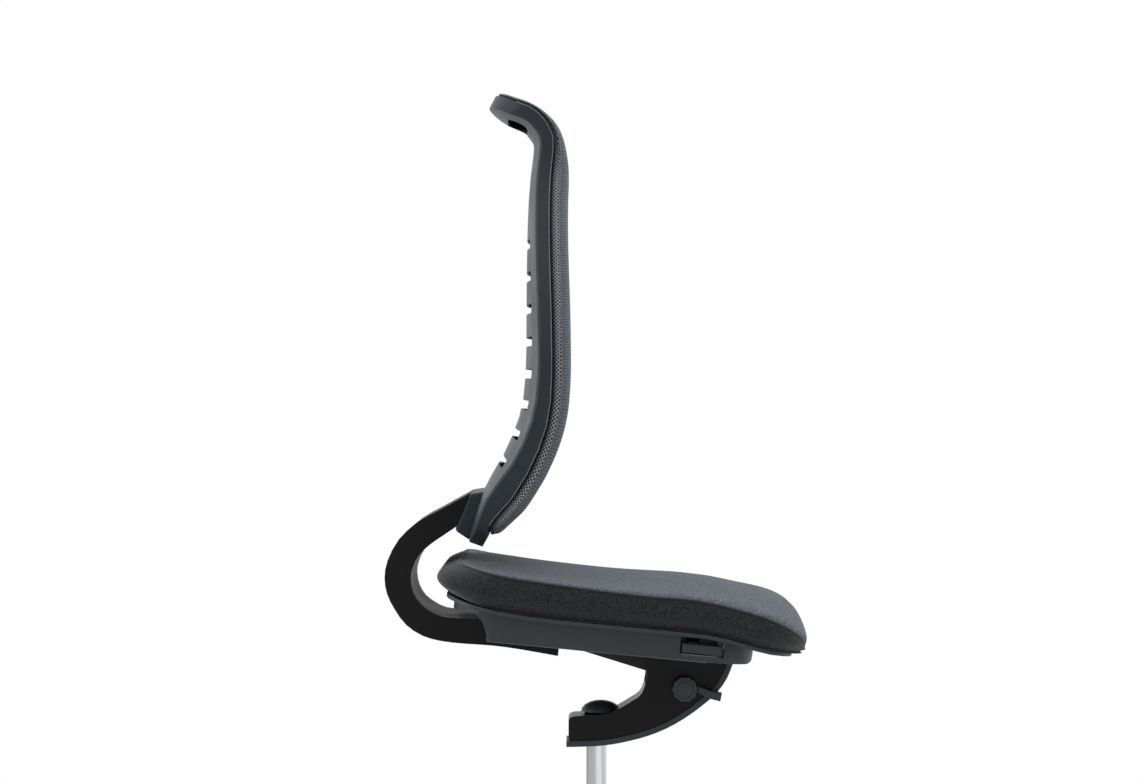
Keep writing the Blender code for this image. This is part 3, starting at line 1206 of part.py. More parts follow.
class BackCurve:
    """The S line of the back, read by arc length."""

    def __init__(self):
        self.line, self.lengths = back_stations()
        self.total = self.lengths[-1]

    def at(self, s):
        """Place, tangent and forward normal at an arc length."""
        s = min(max(s, 0.0), self.total)
        i = 0
        while i < len(self.line) - 2 and self.lengths[i + 1] < s:
            i += 1
        a, b = self.line[i], self.line[i + 1]
        t = (s - self.lengths[i]) / (self.lengths[i + 1] - self.lengths[i])
        before = self.line[max(i - 1, 0)]
        after = self.line[min(i + 2, len(self.line) - 1)]
        tangent = ((b - before).normalized() * (1 - t) + (after - a).normalized() * t).normalized()
        return a.lerp(b, t), tangent, Vector((tangent.y, -tangent.x))

    def stations(self, foot):
        """Arc lengths for lofts, from a foot to the tip's wall: close in the corner, bend and tip."""
        places = [foot + BACK_CORNER * t for t in (0.0, 0.3, 0.65, 1.0)]
        s = 2 * BACK_STEP
        bend = self.length_at_height(SEAT_Z + BEND_FROM)
        while s < self.total - HANDLE_ROUND - BEND_STEP / 2:
            places.append(s)
            s += BEND_STEP if s > bend else BACK_STEP
        tip = SHELL_WALL + PAD_GAP
        share = [(1 - k / TIP_STEPS) ** 2 for k in range(TIP_STEPS + 1)]
        return places + [self.total - tip - (HANDLE_ROUND - tip) * f for f in share]

    def length_at_height(self, z):
        """Arc length at which the line first reaches a height."""
        for i, (a, b) in enumerate(zip(self.line, self.line[1:])):
            if a.y <= z <= b.y:
                return self.lengths[i] + (z - a.y) / (b.y - a.y) * (self.lengths[i + 1] - self.lengths[i])
        return self.total

    def half_width(self, s, foot=0.0):
        """Half width: round corners at a foot, widest at the lumbar, drawn in to a round-tipped handle."""
        taper_from = self.length_at_height(SEAT_Z + BACK_TAPER_FROM)
        taper_to = self.length_at_height(SEAT_Z + BACK_TAPER_TO)
        widen = math.sin(math.pi / 2 * min(s / taper_from, 1.0))
        half = (BACK_FOOT_WIDTH + (BACK_WIDTH - BACK_FOOT_WIDTH) * widen) / 2
        narrow = max(s - taper_from, 0.0) / (taper_to - taper_from)
        half += (HANDLE_WIDTH - BACK_WIDTH) / 2 * blend(narrow ** BACK_TAPER_POWER)
        corner = max(BACK_CORNER - (s - foot), 0.0)
        half -= BACK_CORNER - math.sqrt(max(BACK_CORNER ** 2 - corner ** 2, 0.0))
        tip = min(max(1.0 - (self.total - s) / HANDLE_ROUND, 0.0), 1.0)
        return max(half * math.sqrt(1.0 - tip * tip), HANDLE_TIP / 2)

    def wall(self, s):
        """Rim thickness across the chair: more where the outline turns in to the round tip."""
        half = self.half_width(s)
        slope = (half - self.half_width(s - FIT)) / FIT if s > self.total - HANDLE_ROUND else 0.0
        return min(SHELL_WALL * math.hypot(1.0, slope), half / 2)

    def bulge(self, s):
        """How far the middle stands behind the corners: less at the foot, and where the shell is narrow."""
        share = blend(s / self.length_at_height(SEAT_Z + BACK_TAPER_FROM))
        return SHELL_BULGE * (FOOT_BULGE + (1 - FOOT_BULGE) * share) * 2 * self.half_width(s) / BACK_WIDTH


def blend(t):
    """Smooth step from 0 to 1."""
    t = min(max(t, 0.0), 1.0)
    return t * t * (3 - 2 * t)


def build_back(tilt):
    """Slotted back shell with a rim, its foot boss and the bent-over handle."""
    curve = BackCurve()
    ends = (0.0, SHELL_WALL, SHELL_WALL + FIT)
    places = list(ends) + curve.stations(SHELL_WALL + PAD_GAP) + [curve.total - s for s in reversed(ends)]
    rings = []
    for s in places:
        place, _, front = curve.at(s)
        half = curve.half_width(s)
        bulge = curve.bulge(s)
        solid = min(s, curve.total - s) <= SHELL_WALL
        section = shell_section(half, curve.wall(s), bulge, solid)
        rings.append([back_point(place, front, y, n) for y, n in section])
    shell = loft("back_shell", rings, CHARCOAL)

    slot_s = curve.length_at_height(SEAT_Z + TOP_SLOT_RISE)
    for k in range(SLOT_COUNT):
        s = slot_s - SLOT_PITCH * k
        length = 2 * (curve.half_width(s) - SLOT_MARGIN)
        cut(shell, slot_cutter("slot_" + str(k + 1), length, SLOT_HEIGHT, SLOT_CORNER, curve, s))
    grip = slot_cutter("grip", GRIP_LENGTH, GRIP_WIDTH, GRIP_CORNER, curve, curve.total - GRIP_FROM_TIP)
    cut(shell, grip)

    boss = side_plate("boss", boss_outline(), BOSS_WIDTH, cutter=True)
    round_edges(boss, 0.004, 2, 60)
    hollow_line = []
    for k in range(8):
        place, _, front = curve.at(curve.total * 0.02 * k)
        inner = place + front * (SHELL_WALL * 0.5)
        hollow_line.append((inner.x, inner.y))
    keep = hollow_line + [(0.05, hollow_line[-1][1]), (0.05, hollow_line[0][1])]
    cut(boss, side_plate("boss_front", keep, 2 * BOSS_WIDTH, cutter=True))
    join(shell, boss)
    carry(shell, tilt)
    return curve


def back_point(place, front, y, n):
    """World point at a station: y across, n forward of the corner line."""
    return (place.x + front.x * n, y, place.y + front.y * n)


def shell_section(half, wall, bulge, solid):
    """Closed section of the shell: (across, forward) points, outer side and then the inside."""
    across = (-0.82, -0.5, -0.2, 0.2, 0.5, 0.82)
    chamfer = SHELL_CHAMFER
    outer = [(-half, BAND_DEPTH), (-half, chamfer), (-half + chamfer, 0.0)]
    outer += [(half * f, -bulge * (1 - f * f)) for f in across]
    outer += [(half - chamfer, 0.0), (half, chamfer), (half, BAND_DEPTH)]
    inside = half - wall
    if solid:
        inner = [(inside * f, BAND_DEPTH) for f in (1.0, 0.99, 0.98)]
        inner += [(inside * f, BAND_DEPTH) for f in reversed(across)]
        inner += [(inside * f, BAND_DEPTH) for f in (-0.98, -0.99, -1.0)]
    else:
        inner = [(inside, BAND_DEPTH), (inside, SHELL_WALL + chamfer), (inside - chamfer, SHELL_WALL)]
        inner += [(inside * f, SHELL_WALL - bulge * (1 - f * f)) for f in reversed(across)]
        inner += [(-inside + chamfer, SHELL_WALL), (-inside, SHELL_WALL + chamfer), (-inside, BAND_DEPTH)]
    return outer + inner


def slot_cutter(name, length, width, corner, curve, s):
    """A slot cutter with round corners, square to the shell at an arc length."""
    outline = rounded_rectangle(-length / 2, length / 2, width / 2, corner, 3)
    mesh = outline_mesh(outline, 2 * (SHELL_BULGE + SHELL_WALL))
    place, tangent, front = curve.at(s)
    turn = Matrix(((0, tangent.x, front.x, place.x), (1, 0, 0, 0),
                   (0, tangent.y, front.y, place.y), (0, 0, 0, 1)))
    middle = Matrix.Translation((0, 0, -SHELL_BULGE / 2))
    mesh.transform(turn @ middle)
    return add(name, mesh, cutter=True)


def boss_outline():
    """Side outline of the block on the shell's foot that the bracket's end meets."""
    points = ((-0.1300, 0.1700), (-0.1690, 0.1640), (-0.1900, 0.1150), (-0.1720, 0.1030), (-0.1300, 0.1100))
    return [(x, SEAT_Z + rise) for x, rise in points]


def build_bracket(tilt):
    """C-shaped bracket: from the shell's boss round behind the seat to a tongue under the carrier plate."""
    gap = Vector((-0.0210, -0.0490)).normalized()
    away = Vector((gap.y, -gap.x)) * (2 * FIT)
    upper_out = Vector((-0.1690, 0.1640)) + away
    upper_in = Vector((-0.1885, 0.1185)) + away
    outside = smooth([upper_out, (-0.2100, 0.1420), (-0.2400, 0.1255), (-0.2650, 0.1025), (-0.2800, 0.0740),
                      (-0.2840, 0.0510), (-0.2805, 0.0290), (-0.2700, 0.0080), (-0.2550, -0.0120),
                      (-0.2330, -0.0265), (-0.2080, -0.0335), (-0.1770, -0.0370), (-0.1400, -0.0395),
                      (-0.1030, -0.0445), (-0.0520, -0.0535)], 2)
    inside = smooth([(-0.1530, -0.0040), (-0.1850, -0.0030), (-0.2080, -0.0005), (-0.2240, 0.0070),
                     (-0.2370, 0.0170), (-0.2455, 0.0310), (-0.2490, 0.0490), (-0.2465, 0.0640),
                     (-0.2390, 0.0800), (-0.2250, 0.0940), (-0.2080, 0.1060), upper_in], 2)
    outline = [(p[0], SEAT_Z + p[1]) for p in outside]
    tongue_x = outline[-1][0]
    front = world_to_seat(tongue_x, outline[-1][1])[0]
    step = PLATE_REAR - RUN
    outline.append(seat_to_world(front, PLATE_UNDER - FIT))
    outline.append(seat_to_world(step, PLATE_UNDER - FIT))
    outline.append(seat_to_world(step, -PLATE_DROP))
    outline += [(p[0], SEAT_Z + p[1]) for p in inside]
    bracket = side_plate("back_bracket", outline, BRACKET_WIDTH, LACQUER)
    round_edges(bracket, BRACKET_EDGE, 1, 50)
    carry(bracket, tilt)


def build_back_cushion(tilt, curve):
    """Back cushion: a plug inside the shell's rim and a padded front that thins over the handle."""
    rings = []
    full_to = curve.length_at_height(SEAT_Z + PAD_FULL_TO)
    places = curve.stations(PAD_FOOT)
    for s in places:
        place, _, front = curve.at(s)
        half = curve.half_width(s, PAD_FOOT)
        edge = min(PAD_EDGE, half / 2)
        pad = 1.0 - (1.0 - PAD_OVER_HANDLE) * blend((s - full_to) / PAD_THIN_OVER)
        end = min(s - places[0], places[-1] - s)
        ease = 0.3 + 0.7 * math.sqrt(max(1 - (1 - min(end / PAD_END, 1.0)) ** 2, 0.0))
        rim = BAND_DEPTH + PAD_GAP
        seam = rim + PAD_BORDER * pad * ease
        face = seam + PAD_FRONT * pad * ease
        plug = half - curve.wall(s) - PAD_GAP
        side = [(plug, BAND_DEPTH - PAD_PLUG), (plug, rim), (half - 0.003, rim),
                (half - 0.005, (rim + seam) / 2),
                (half - 0.003, seam), (half - edge * 0.35, seam + (face - seam) * 0.75), (half - edge, face)]
        middle = [(0.45 * half, face - PAD_HOLLOW * pad * 0.7), (0.0, face - PAD_HOLLOW * pad)]
        ring = side + middle
        ring += [(-y, n) for y, n in reversed(side + middle[:1])]
        rings.append([back_point(place, front, y, n) for y, n in ring])
    cushion = loft("back_cushion", rings, FABRIC)
    carry(cushion, tilt)


def main():
    base = build_base()
    lift = build_column(base)
    build_arm(lift)
    build_release(lift)
    build_tension(lift)
    build_axle(lift)
    tilt = pivot("seat_tilt", (AXLE_FORWARD, 0.0, AXLE_Z), lift)
    build_springs(tilt)
    build_carrier(tilt)
    build_bracket(tilt)
    curve = build_back(tilt)
    build_back_cushion(tilt, curve)
    slide = pivot("seat_depth", (0.0, 0.0, SEAT_Z), tilt, SEAT_PITCH)
    build_pan(slide)
    build_seat_cushion(slide)


main()
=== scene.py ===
# %% [markdown]
# # An office chair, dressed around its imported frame
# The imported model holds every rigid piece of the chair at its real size: a slotted back shell on a
# C-shaped bracket, a sliding seat on a tilt arm, a gas column and a star base on castors.
# This lesson adds what a maker adds last: upholstery, edge radii, seams and surface finishes.

# %% Load the frame
import math

import bmesh
import bpy
import numpy as np
from mathutils import Matrix, Vector


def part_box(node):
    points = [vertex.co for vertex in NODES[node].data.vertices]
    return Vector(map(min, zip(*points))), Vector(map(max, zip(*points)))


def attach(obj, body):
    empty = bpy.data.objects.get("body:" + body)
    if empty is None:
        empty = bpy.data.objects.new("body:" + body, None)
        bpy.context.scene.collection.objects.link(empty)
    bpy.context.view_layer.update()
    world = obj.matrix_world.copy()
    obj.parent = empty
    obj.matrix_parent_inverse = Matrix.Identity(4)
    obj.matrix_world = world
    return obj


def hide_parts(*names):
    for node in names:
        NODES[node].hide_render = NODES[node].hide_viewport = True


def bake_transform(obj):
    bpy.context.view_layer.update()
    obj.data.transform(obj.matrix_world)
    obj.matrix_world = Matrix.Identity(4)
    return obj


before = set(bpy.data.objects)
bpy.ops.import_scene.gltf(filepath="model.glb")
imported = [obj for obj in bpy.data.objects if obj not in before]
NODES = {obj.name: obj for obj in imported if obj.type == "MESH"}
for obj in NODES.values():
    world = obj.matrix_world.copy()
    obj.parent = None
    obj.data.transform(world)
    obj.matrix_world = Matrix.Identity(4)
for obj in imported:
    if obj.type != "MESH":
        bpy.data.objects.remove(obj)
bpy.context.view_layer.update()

# %% [markdown]
# ## The camera
# The photograph is a level side view from far away, so that the seat shows almost no top.
# A camera could be fitted by eye, but the gas tube and the seat give the distance: 4.2 m,
# on the height of the back's lower third, with a long lens. No shift is needed.

# %% Camera
IMAGE_WIDTH = 1140
CAMERA_PLACE = Vector((-0.036, -4.2, 0.707))
FOCAL_PIXELS = 3074.4
SENSOR_WIDTH = 36.0
FAR_CLIP = 50.0


def add_object(name, data):
    """A new object in the scene."""
    obj = bpy.data.objects.new(name, data)
    bpy.context.scene.collection.objects.link(obj)
    return obj


view_camera = bpy.data.cameras.new("side_view")
view_camera.sensor_fit = 'HORIZONTAL'
view_camera.sensor_width = SENSOR_WIDTH
view_camera.lens = FOCAL_PIXELS * SENSOR_WIDTH / IMAGE_WIDTH
view_camera.clip_end = FAR_CLIP
camera_object = add_object("side_view", view_camera)
camera_object.location = CAMERA_PLACE
camera_object.rotation_euler = (math.pi / 2, 0.0, 0.0)
bpy.context.scene.camera = camera_object
bpy.context.scene.view_settings.view_transform = 'Standard'
print("lens: %.1f mm" % view_camera.lens)

# %% [markdown]
# ## Node helpers
# Every finish below is a small node tree. A few helpers keep them readable: one adds a node and fills
# its sockets, one starts a material with a Principled shader, and the rest are noise, ranges and sums.


# %% Node helpers
def add_node(tree, kind, inputs=None, **settings):
    """A shader node with its settings, and its inputs linked or filled by name or number."""
    node = tree.nodes.new("ShaderNode" + kind)
    for name, value in settings.items():
        setattr(node, name, value)
    for key, value in (inputs or {}).items():
        socket = node.inputs[key]
        if isinstance(value, bpy.types.NodeSocket):
            tree.links.new(value, socket)
        else:
            socket.default_value = value
    return node


def start_finish(name, roughness, metallic=0.0, **sockets):
    """A material with its Principled shader; returns the material, its tree and the shader."""
    material = bpy.data.materials.new(name)
    material.use_nodes = True
    tree = material.node_tree
    shader = tree.nodes["Principled BSDF"]
    shader.inputs["Roughness"].default_value = roughness
    shader.inputs["Metallic"].default_value = metallic
    for key, value in sockets.items():
        shader.inputs[key.replace("_", " ")].default_value = value
    return material, tree, shader


def place_in_metres(tree, scale=(1.0, 1.0, 1.0)):
    """Object coordinates, stretched by a scale."""
    coordinates = add_node(tree, "TexCoord")
    mapping = add_node(tree, "Mapping", {"Vector": coordinates.outputs["Object"], "Scale": scale})
    return mapping.outputs["Vector"]


def noise(tree, place, scale, detail=2.0, roughness=0.5):
    """A noise value between 0 and 1, with a scale in features per metre."""
    node = add_node(tree, "TexNoise", {"Vector": place, "Scale": scale,
                                       "Detail": detail, "Roughness": roughness})
    return node.outputs["Fac"]


def spread(tree, value, low, high, from_low=0.3, from_high=0.7):
    """A value mapped to a range, and held inside it."""
    node = add_node(tree, "MapRange", {"Value": value, "From Min": from_low, "From Max": from_high,
                                       "To Min": low, "To Max": high})
    return node.outputs["Result"]


def colour_between(tree, shader, value, dark, light):
    """Base colour between two colours, by a value from 0 to 1."""
    node = add_node(tree, "Mix", data_type='RGBA')
    tree.links.new(value, node.inputs["Factor"])
    node.inputs["A"].default_value = (*dark, 1.0)
    node.inputs["B"].default_value = (*light, 1.0)
    tree.links.new(node.outputs["Result"], shader.inputs["Base Color"])


def calculate(tree, operation, first, second=0.0):
    """One step of arithmetic on two values or sockets."""
    return add_node(tree, "Math", {0: first, 1: second}, operation=operation).outputs["Value"]


def weigh(tree, *parts):
    """The sum of (value, weight) parts."""
    total = None
    for value, weight in parts:
        share = calculate(tree, 'MULTIPLY', value, weight)
        total = share if total is None else calculate(tree, 'ADD', total, share)
    return total


def shades(colour, share):
    """A darker and a lighter shade of a colour."""
    return tuple(c * (1 - share) for c in colour), tuple(c * (1 + share) for c in colour)


def raise_surface(tree, shader, height, distance, strength=1.0):
    """Bump from a height of 0 to 1 that stands a real distance in metres."""
    bump = add_node(tree, "Bump", {"Height": height, "Distance": distance, "Strength": strength})
    tree.links.new(bump.outputs["Normal"], shader.inputs["Normal"])


# %% [markdown]
# ## Light, floor and backdrop
# The photograph has no floor: the chair stands on white, lit softly from above and from behind.
# The world is white to the camera and to reflections, and dimmer as a lamp, so that dark
# plastics keep their depth. Large area lamps give the long highlights on the rounded edges.

# %% Light
AMBIENT = 0.52
FLOOR_RADIUS, FLOOR_DROP, FLOOR_SIDES = 1.12, 0.0005, 96
FADE_FROM, FADE_TO = 0.55, 0.98

world = bpy.data.worlds.new("studio")
bpy.context.scene.world = world
world.use_nodes = True
sky = world.node_tree
sky.nodes.clear()
ray = add_node(sky, "LightPath")
seen = calculate(sky, 'MAXIMUM', ray.outputs["Is Camera Ray"], ray.outputs["Is Transmission Ray"])
seen = calculate(sky, 'MAXIMUM', seen, ray.outputs["Is Glossy Ray"])
lit = add_node(sky, "Background", {"Color": (1.0, 1.0, 1.0, 1.0), "Strength": AMBIENT})
white = add_node(sky, "Background", {"Color": (1.0, 1.0, 1.0, 1.0), "Strength": 1.0})
choice = add_node(sky, "MixShader", {0: seen, 1: lit.outputs["Background"],
                                     2: white.outputs["Background"]})
add_node(sky, "OutputWorld", {"Surface": choice.outputs["Shader"]})


def add_lamp(name, place, target, size, power):
    """An area lamp that looks at a target."""
    lamp = bpy.data.lights.new(name, 'AREA')
    lamp.shape = 'RECTANGLE'
    lamp.size, lamp.size_y = size
    lamp.energy = power
    obj = add_object(name, lamp)
    obj.location = place
    obj.rotation_euler = (Vector(target) - Vector(place)).to_track_quat('-Z', 'Y').to_euler()


def add_mesh(name, mesh, finish=None):
    """An object made of a bmesh, which is freed, with its finish."""
    data = bpy.data.meshes.new(name)
    mesh.to_mesh(data)
    mesh.free()
    if finish:
        data.materials.append(finish)
    return add_object(name, data)


CHAIR_MIDDLE = (0.0, 0.0, 0.6)
add_lamp("overhead", (0.1, 0.2, 2.9), CHAIR_MIDDLE, (2.4, 2.4), 40.0)
add_lamp("rear_strip", (-2.4, -0.5, 1.3), CHAIR_MIDDLE, (0.7, 2.2), 20.0)
add_lamp("front_strip", (2.4, -0.9, 1.4), CHAIR_MIDDLE, (0.7, 2.2), 16.0)


def floor_finish():
    """Pale matt floor that turns into the white backdrop at its edge."""
    material, tree, shader = start_finish("pale_floor", 0.9)
    place = place_in_metres(tree)
    grain = spread(tree, noise(tree, place, 40.0), 0.0, 1.0)
    colour_between(tree, shader, grain, (0.86, 0.86, 0.86), (0.90, 0.90, 0.90))
    radius = add_node(tree, "VectorMath", {0: place}, operation='LENGTH').outputs["Value"]
    rim = spread(tree, radius, 0.0, 1.0, FLOOR_RADIUS * FADE_FROM, FLOOR_RADIUS * FADE_TO)
    glow = add_node(tree, "Emission", {"Color": (1.0, 1.0, 1.0, 1.0), "Strength": 1.0})
    mix = add_node(tree, "MixShader", {0: rim, 1: shader.outputs["BSDF"], 2: glow.outputs["Emission"]})
    tree.links.new(mix.outputs["Shader"], tree.nodes["Material Output"].inputs["Surface"])
    return material


floor_mesh = bmesh.new()
bmesh.ops.create_circle(floor_mesh, cap_ends=True, segments=FLOOR_SIDES, radius=FLOOR_RADIUS)
floor = add_mesh("floor", floor_mesh, floor_finish())
floor.location = (0.0, 0.0, -FLOOR_DROP)
print("stage: floor of %.2f m and three lamps" % (2 * FLOOR_RADIUS))

# %% [markdown]
# ## Finishes of the rigid pieces
# Moulded plastic has a spark-eroded grain: fine bumps under a millimetre across, and patches
# that are a little shinier where hands and clothes rub. Lacquer is smoother, with a faint ripple.
# Steel shows turning lines. Chrome shows the faintest haze, and dark and light streaks along the tube
# that are partly drawing lines and partly painted reflections.
# All of it comes from noise in real metres, so the grain has the same size on every piece.


# %% Rigid finishes
def moulded(name, colour, roughness, grain=1300.0, depth=0.00012, shade=0.16, gloss=0.35,
            tint=(1.0, 1.0, 1.0)):
    """Moulded plastic with a spark-eroded grain, whose shine may have a tint."""
    material, tree, shader = start_finish(name, roughness, Specular_IOR_Level=gloss,
                                          Specular_Tint=(*tint, 1.0))
    place = place_in_metres(tree)
    patches = noise(tree, place, 16.0, 3.0)
    fine = noise(tree, place, grain, 2.0)
    tone = spread(tree, weigh(tree, (patches, 0.6), (fine, 0.4)), 0.0, 1.0, 0.35, 0.65)
    colour_between(tree, shader, tone, *shades(colour, shade))
    rough = spread(tree, patches, roughness - 0.06, roughness + 0.06)
    tree.links.new(rough, shader.inputs["Roughness"])
    raise_surface(tree, shader, fine, depth, 0.5)
    return material


def lacquered(name, colour, gloss=0.08, coat=0.1):
    """Black lacquer over a casting: glossy coat, faint ripple, fine dust."""
    material, tree, shader = start_finish(name, 0.36, Specular_IOR_Level=gloss, Coat_Weight=coat,
                                          Coat_Roughness=0.1)
    place = place_in_metres(tree)
    dust = noise(tree, place, 900.0, 1.0)
    ripple = noise(tree, place, 130.0, 2.0)
    dusty = tuple(c * 1.7 for c in colour)
    tone = spread(tree, dust, 0.0, 1.0, 0.55, 0.85)
    colour_between(tree, shader, tone, colour, dusty)
    tree.links.new(spread(tree, noise(tree, place, 12.0), 0.32, 0.44), shader.inputs["Roughness"])
    raise_surface(tree, shader, ripple, 0.00012, 0.35)
    return material


def metal(name, colour, roughness, lines=(300.0, 300.0, 6000.0), depth=0.00004, lines_and_reflections_dark=0.88):
    """Steel, brass or chrome, with turning lines across Z or drawing lines along it; on chrome they are
    dark enough to be painted reflections as well.
    """
    material, tree, shader = start_finish(name, roughness, 1.0)
    # On chrome these streaks along the tube are drawing lines and painted reflections at once.
    turning = noise(tree, place_in_metres(tree, lines), 1.0, 2.0)
    haze = noise(tree, place_in_metres(tree), 25.0, 3.0)
    dark = tuple(c * lines_and_reflections_dark for c in colour)
    colour_between(tree, shader, spread(tree, turning, 0.0, 1.0), dark, colour)
    tree.links.new(spread(tree, haze, roughness * 0.8, roughness * 1.25), shader.inputs["Roughness"])
    raise_surface(tree, shader, turning, depth, 0.4)
    return material


SHELL_PLASTIC = moulded("shell_charcoal", (0.0175, 0.0218, 0.0256), 0.46, gloss=0.30,
                        tint=(0.72, 0.85, 1.0))
PAN_PLASTIC = moulded("pan_charcoal", (0.024, 0.0305, 0.0355), 0.42)
KNOB_PLASTIC = moulded("knob_charcoal", (0.030, 0.036, 0.041), 0.48, 1000.0)
NYLON = moulded("black_nylon", (0.012, 0.012, 0.0135), 0.45, 1000.0, 0.00015, gloss=0.25)
TREAD = moulded("castor_tread", (0.022, 0.022, 0.024), 0.62, 700.0, 0.0002)
LACQUER = lacquered("black_lacquer", (0.0062, 0.0062, 0.0066))
BRACKET_LACQUER = lacquered("bracket_lacquer", (0.0185, 0.0185, 0.0192), 0.01, 0.02)
STEEL = metal("satin_steel", (0.56, 0.57, 0.58), 0.32)
# Its dark share of 0.26 paints reflections of dark surroundings into the streaks along the tube.
CHROME = metal("chrome_tube", (0.74, 0.76, 0.79), 0.11, (210.0, 210.0, 2.0), 0.00001, 0.26)
BRASS = metal("bearing_brass", (0.62, 0.46, 0.22), 0.3)
DARK_STEEL = metal("blackened_steel", (0.060, 0.060, 0.066), 0.4)

CASTORS = range(1, 6)
FINISH_OF = {
    "star_base": NYLON, "guide_bush": NYLON, "spring_housing": NYLON, "slide_rail_left": NYLON,
    "slide_rail_right": NYLON, "column_tube": NYLON, "pressure_tube": CHROME, "arm_casting": LACQUER,
    "seat_carrier": LACQUER, "back_bracket": BRACKET_LACQUER, "back_shell": SHELL_PLASTIC,
    "seat_pan": PAN_PLASTIC, "arm_cover": PAN_PLASTIC, "column_cap": PAN_PLASTIC,
    "depth_handle": PAN_PLASTIC, "lift_lever": KNOB_PLASTIC, "tension_knob": KNOB_PLASTIC,
    "tension_nut": BRASS, "depth_latch": DARK_STEEL, "axle_bush_left": BRASS, "axle_bush_right": BRASS}
for k in CASTORS:
    FINISH_OF["castor_hood_%d" % k] = NYLON
    FINISH_OF["castor_wheel_left_%d" % k] = TREAD
    FINISH_OF["castor_wheel_right_%d" % k] = TREAD
for name, obj in NODES.items():
    obj.data.materials.clear()
    obj.data.materials.append(FINISH_OF.get(name, STEEL))
print("finishes on", len(NODES), "nodes")

# %% [markdown]
# ## Edge radii on the moulded and cast pieces
# A real casting or moulding has no knife edge: a radius under a millimetre catches a line of light.
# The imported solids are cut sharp, so a Weld and a Bevel modifier round them here, without touching the
# solids themselves, and a Weighted Normal modifier keeps their flat faces flat in the light. Turned
# steel pieces that nobody sees keep their edges.

# %% Edge radii
EDGE_RADIUS = {
    "star_base": 0.0016, "arm_casting": 0.0015, "arm_cover": 0.0012, "column_cap": 0.0006,
    "seat_carrier": 0.0008, "tension_knob": 0.0008, "lift_lever": 0.0010, "depth_handle": 0.0006,
    "pressure_tube": 0.0004, "column_tube": 0.0005, "spring_housing": 0.0008, "back_bracket": 0.0006,
    "back_shell": 0.0009, "seat_pan": 0.0009}
for k in CASTORS:
    EDGE_RADIUS["castor_hood_%d" % k] = 0.0008
CREASE = math.radians(32)
WELD_REACH = 0.00002


def soften(obj, radius, segments=2):
    """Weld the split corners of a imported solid, round its edges and shade it smooth."""
    weld = obj.modifiers.new("weld", 'WELD')
    weld.merge_threshold = WELD_REACH
    round_over = obj.modifiers.new("edge_radius", 'BEVEL')
    round_over.width = radius
    round_over.segments = segments
    round_over.limit_method = 'ANGLE'
    round_over.angle_limit = CREASE
    even_out = obj.modifiers.new("even_shading", 'WEIGHTED_NORMAL')
    even_out.keep_sharp = True
    for polygon in obj.data.polygons:
        polygon.use_smooth = True


for name, radius in EDGE_RADIUS.items():
    soften(NODES[name], radius)
print("edge radii on", len(EDGE_RADIUS), "nodes")

# %% [markdown]
# ## Lines that the upholstery follows
# The seat is pitched 5.5 degrees, so its cushion is drawn in the seat's own frame: along, across and
# above. The back is drawn along an S line, by arc length. The figures are those of the solids, written
# again here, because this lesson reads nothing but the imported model. A smooth curve through few
# points is easier to correct against the photograph than many points would be.

# %% Lines of the seat and the back
SEAT_ORIGIN = Vector((0.0, 0.0, 0.407448))
SEAT_PITCH = math.radians(5.5)
SEAT_ALONG = Vector((math.cos(SEAT_PITCH), 0.0, -math.sin(SEAT_PITCH)))
SEAT_UP = Vector((math.sin(SEAT_PITCH), 0.0, math.cos(SEAT_PITCH)))
ACROSS = Vector((0.0, 1.0, 0.0))


def smooth_points(points, steps=6):
    """Points on a curve through the given ones."""
    curve = []
    for i in range(len(points) - 1):
        p1, p2 = Vector(points[i]), Vector(points[i + 1])
        p0 = Vector(points[i - 1]) if i else p1 * 2 - p2
        p3 = Vector(points[i + 2]) if i + 2 < len(points) else p2 * 2 - p1
        for k in range(steps):
            t = k / steps
            curve.append((2 * p1 + (p2 - p0) * t + (2 * p0 - 5 * p1 + 4 * p2 - p3) * t * t
                          + (3 * p1 - p0 - 3 * p2 + p3) * t ** 3) / 2)
    return curve + [Vector(points[-1])]


def reader(points):
    """A function that reads a height off a smooth line of (place, height) points."""
    line = smooth_points(points)
    places = [p.x for p in line]
    heights = [p.y for p in line]
    return lambda place: float(np.interp(place, places, heights))


def ease(t):
    """A smooth step from 0 to 1."""
    t = min(max(t, 0.0), 1.0)
    return t * t * (3 - 2 * t)


def quarter_round(t):
    """Height of a quarter round at a share of its width."""
    t = min(max(t, 0.0), 1.0)
    return math.sqrt(1.0 - (1.0 - t) ** 2)


def on_seat(along, across, above):
    """World place in the seat's own frame."""
    return SEAT_ORIGIN + SEAT_ALONG * along + ACROSS * across + SEAT_UP * above


pan_top = reader(((-0.217, 0.0240), (-0.196, 0.0160), (-0.165, 0.0085), (-0.132, 0.0040),
                  (-0.092, 0.0010), (-0.050, 0.0), (0.020, 0.0), (0.090, 0.0), (0.140, -0.0005),
                  (0.170, -0.0035), (0.200, -0.0095), (0.230, -0.0145), (0.258, -0.0165),
                  (0.290, -0.0170)))
seat_seam = reader(((-0.190, 0.0570), (-0.180, 0.0565), (-0.158, 0.0530), (-0.123, 0.0487),
                    (-0.066, 0.0455), (0.0, 0.0430), (0.050, 0.0420), (0.076, 0.0420), (0.109, 0.0430),
                    (0.142, 0.0410), (0.182, 0.0350), (0.216, 0.0280), (0.243, 0.0180), (0.260, 0.0070),
                    (0.270, -0.0015), (0.276, -0.0070)))
seat_top = reader(((-0.190, 0.0590), (-0.180, 0.0620), (-0.165, 0.0630), (-0.138, 0.0625),
                   (-0.097, 0.0610), (-0.056, 0.0600), (0.027, 0.0595), (0.109, 0.0630), (0.150, 0.0635),
                   (0.171, 0.0625), (0.192, 0.0605), (0.212, 0.0595), (0.236, 0.0570), (0.252, 0.0510),
                   (0.261, 0.0445), (0.268, 0.0340), (0.273, 0.0200), (0.276, 0.0020)))

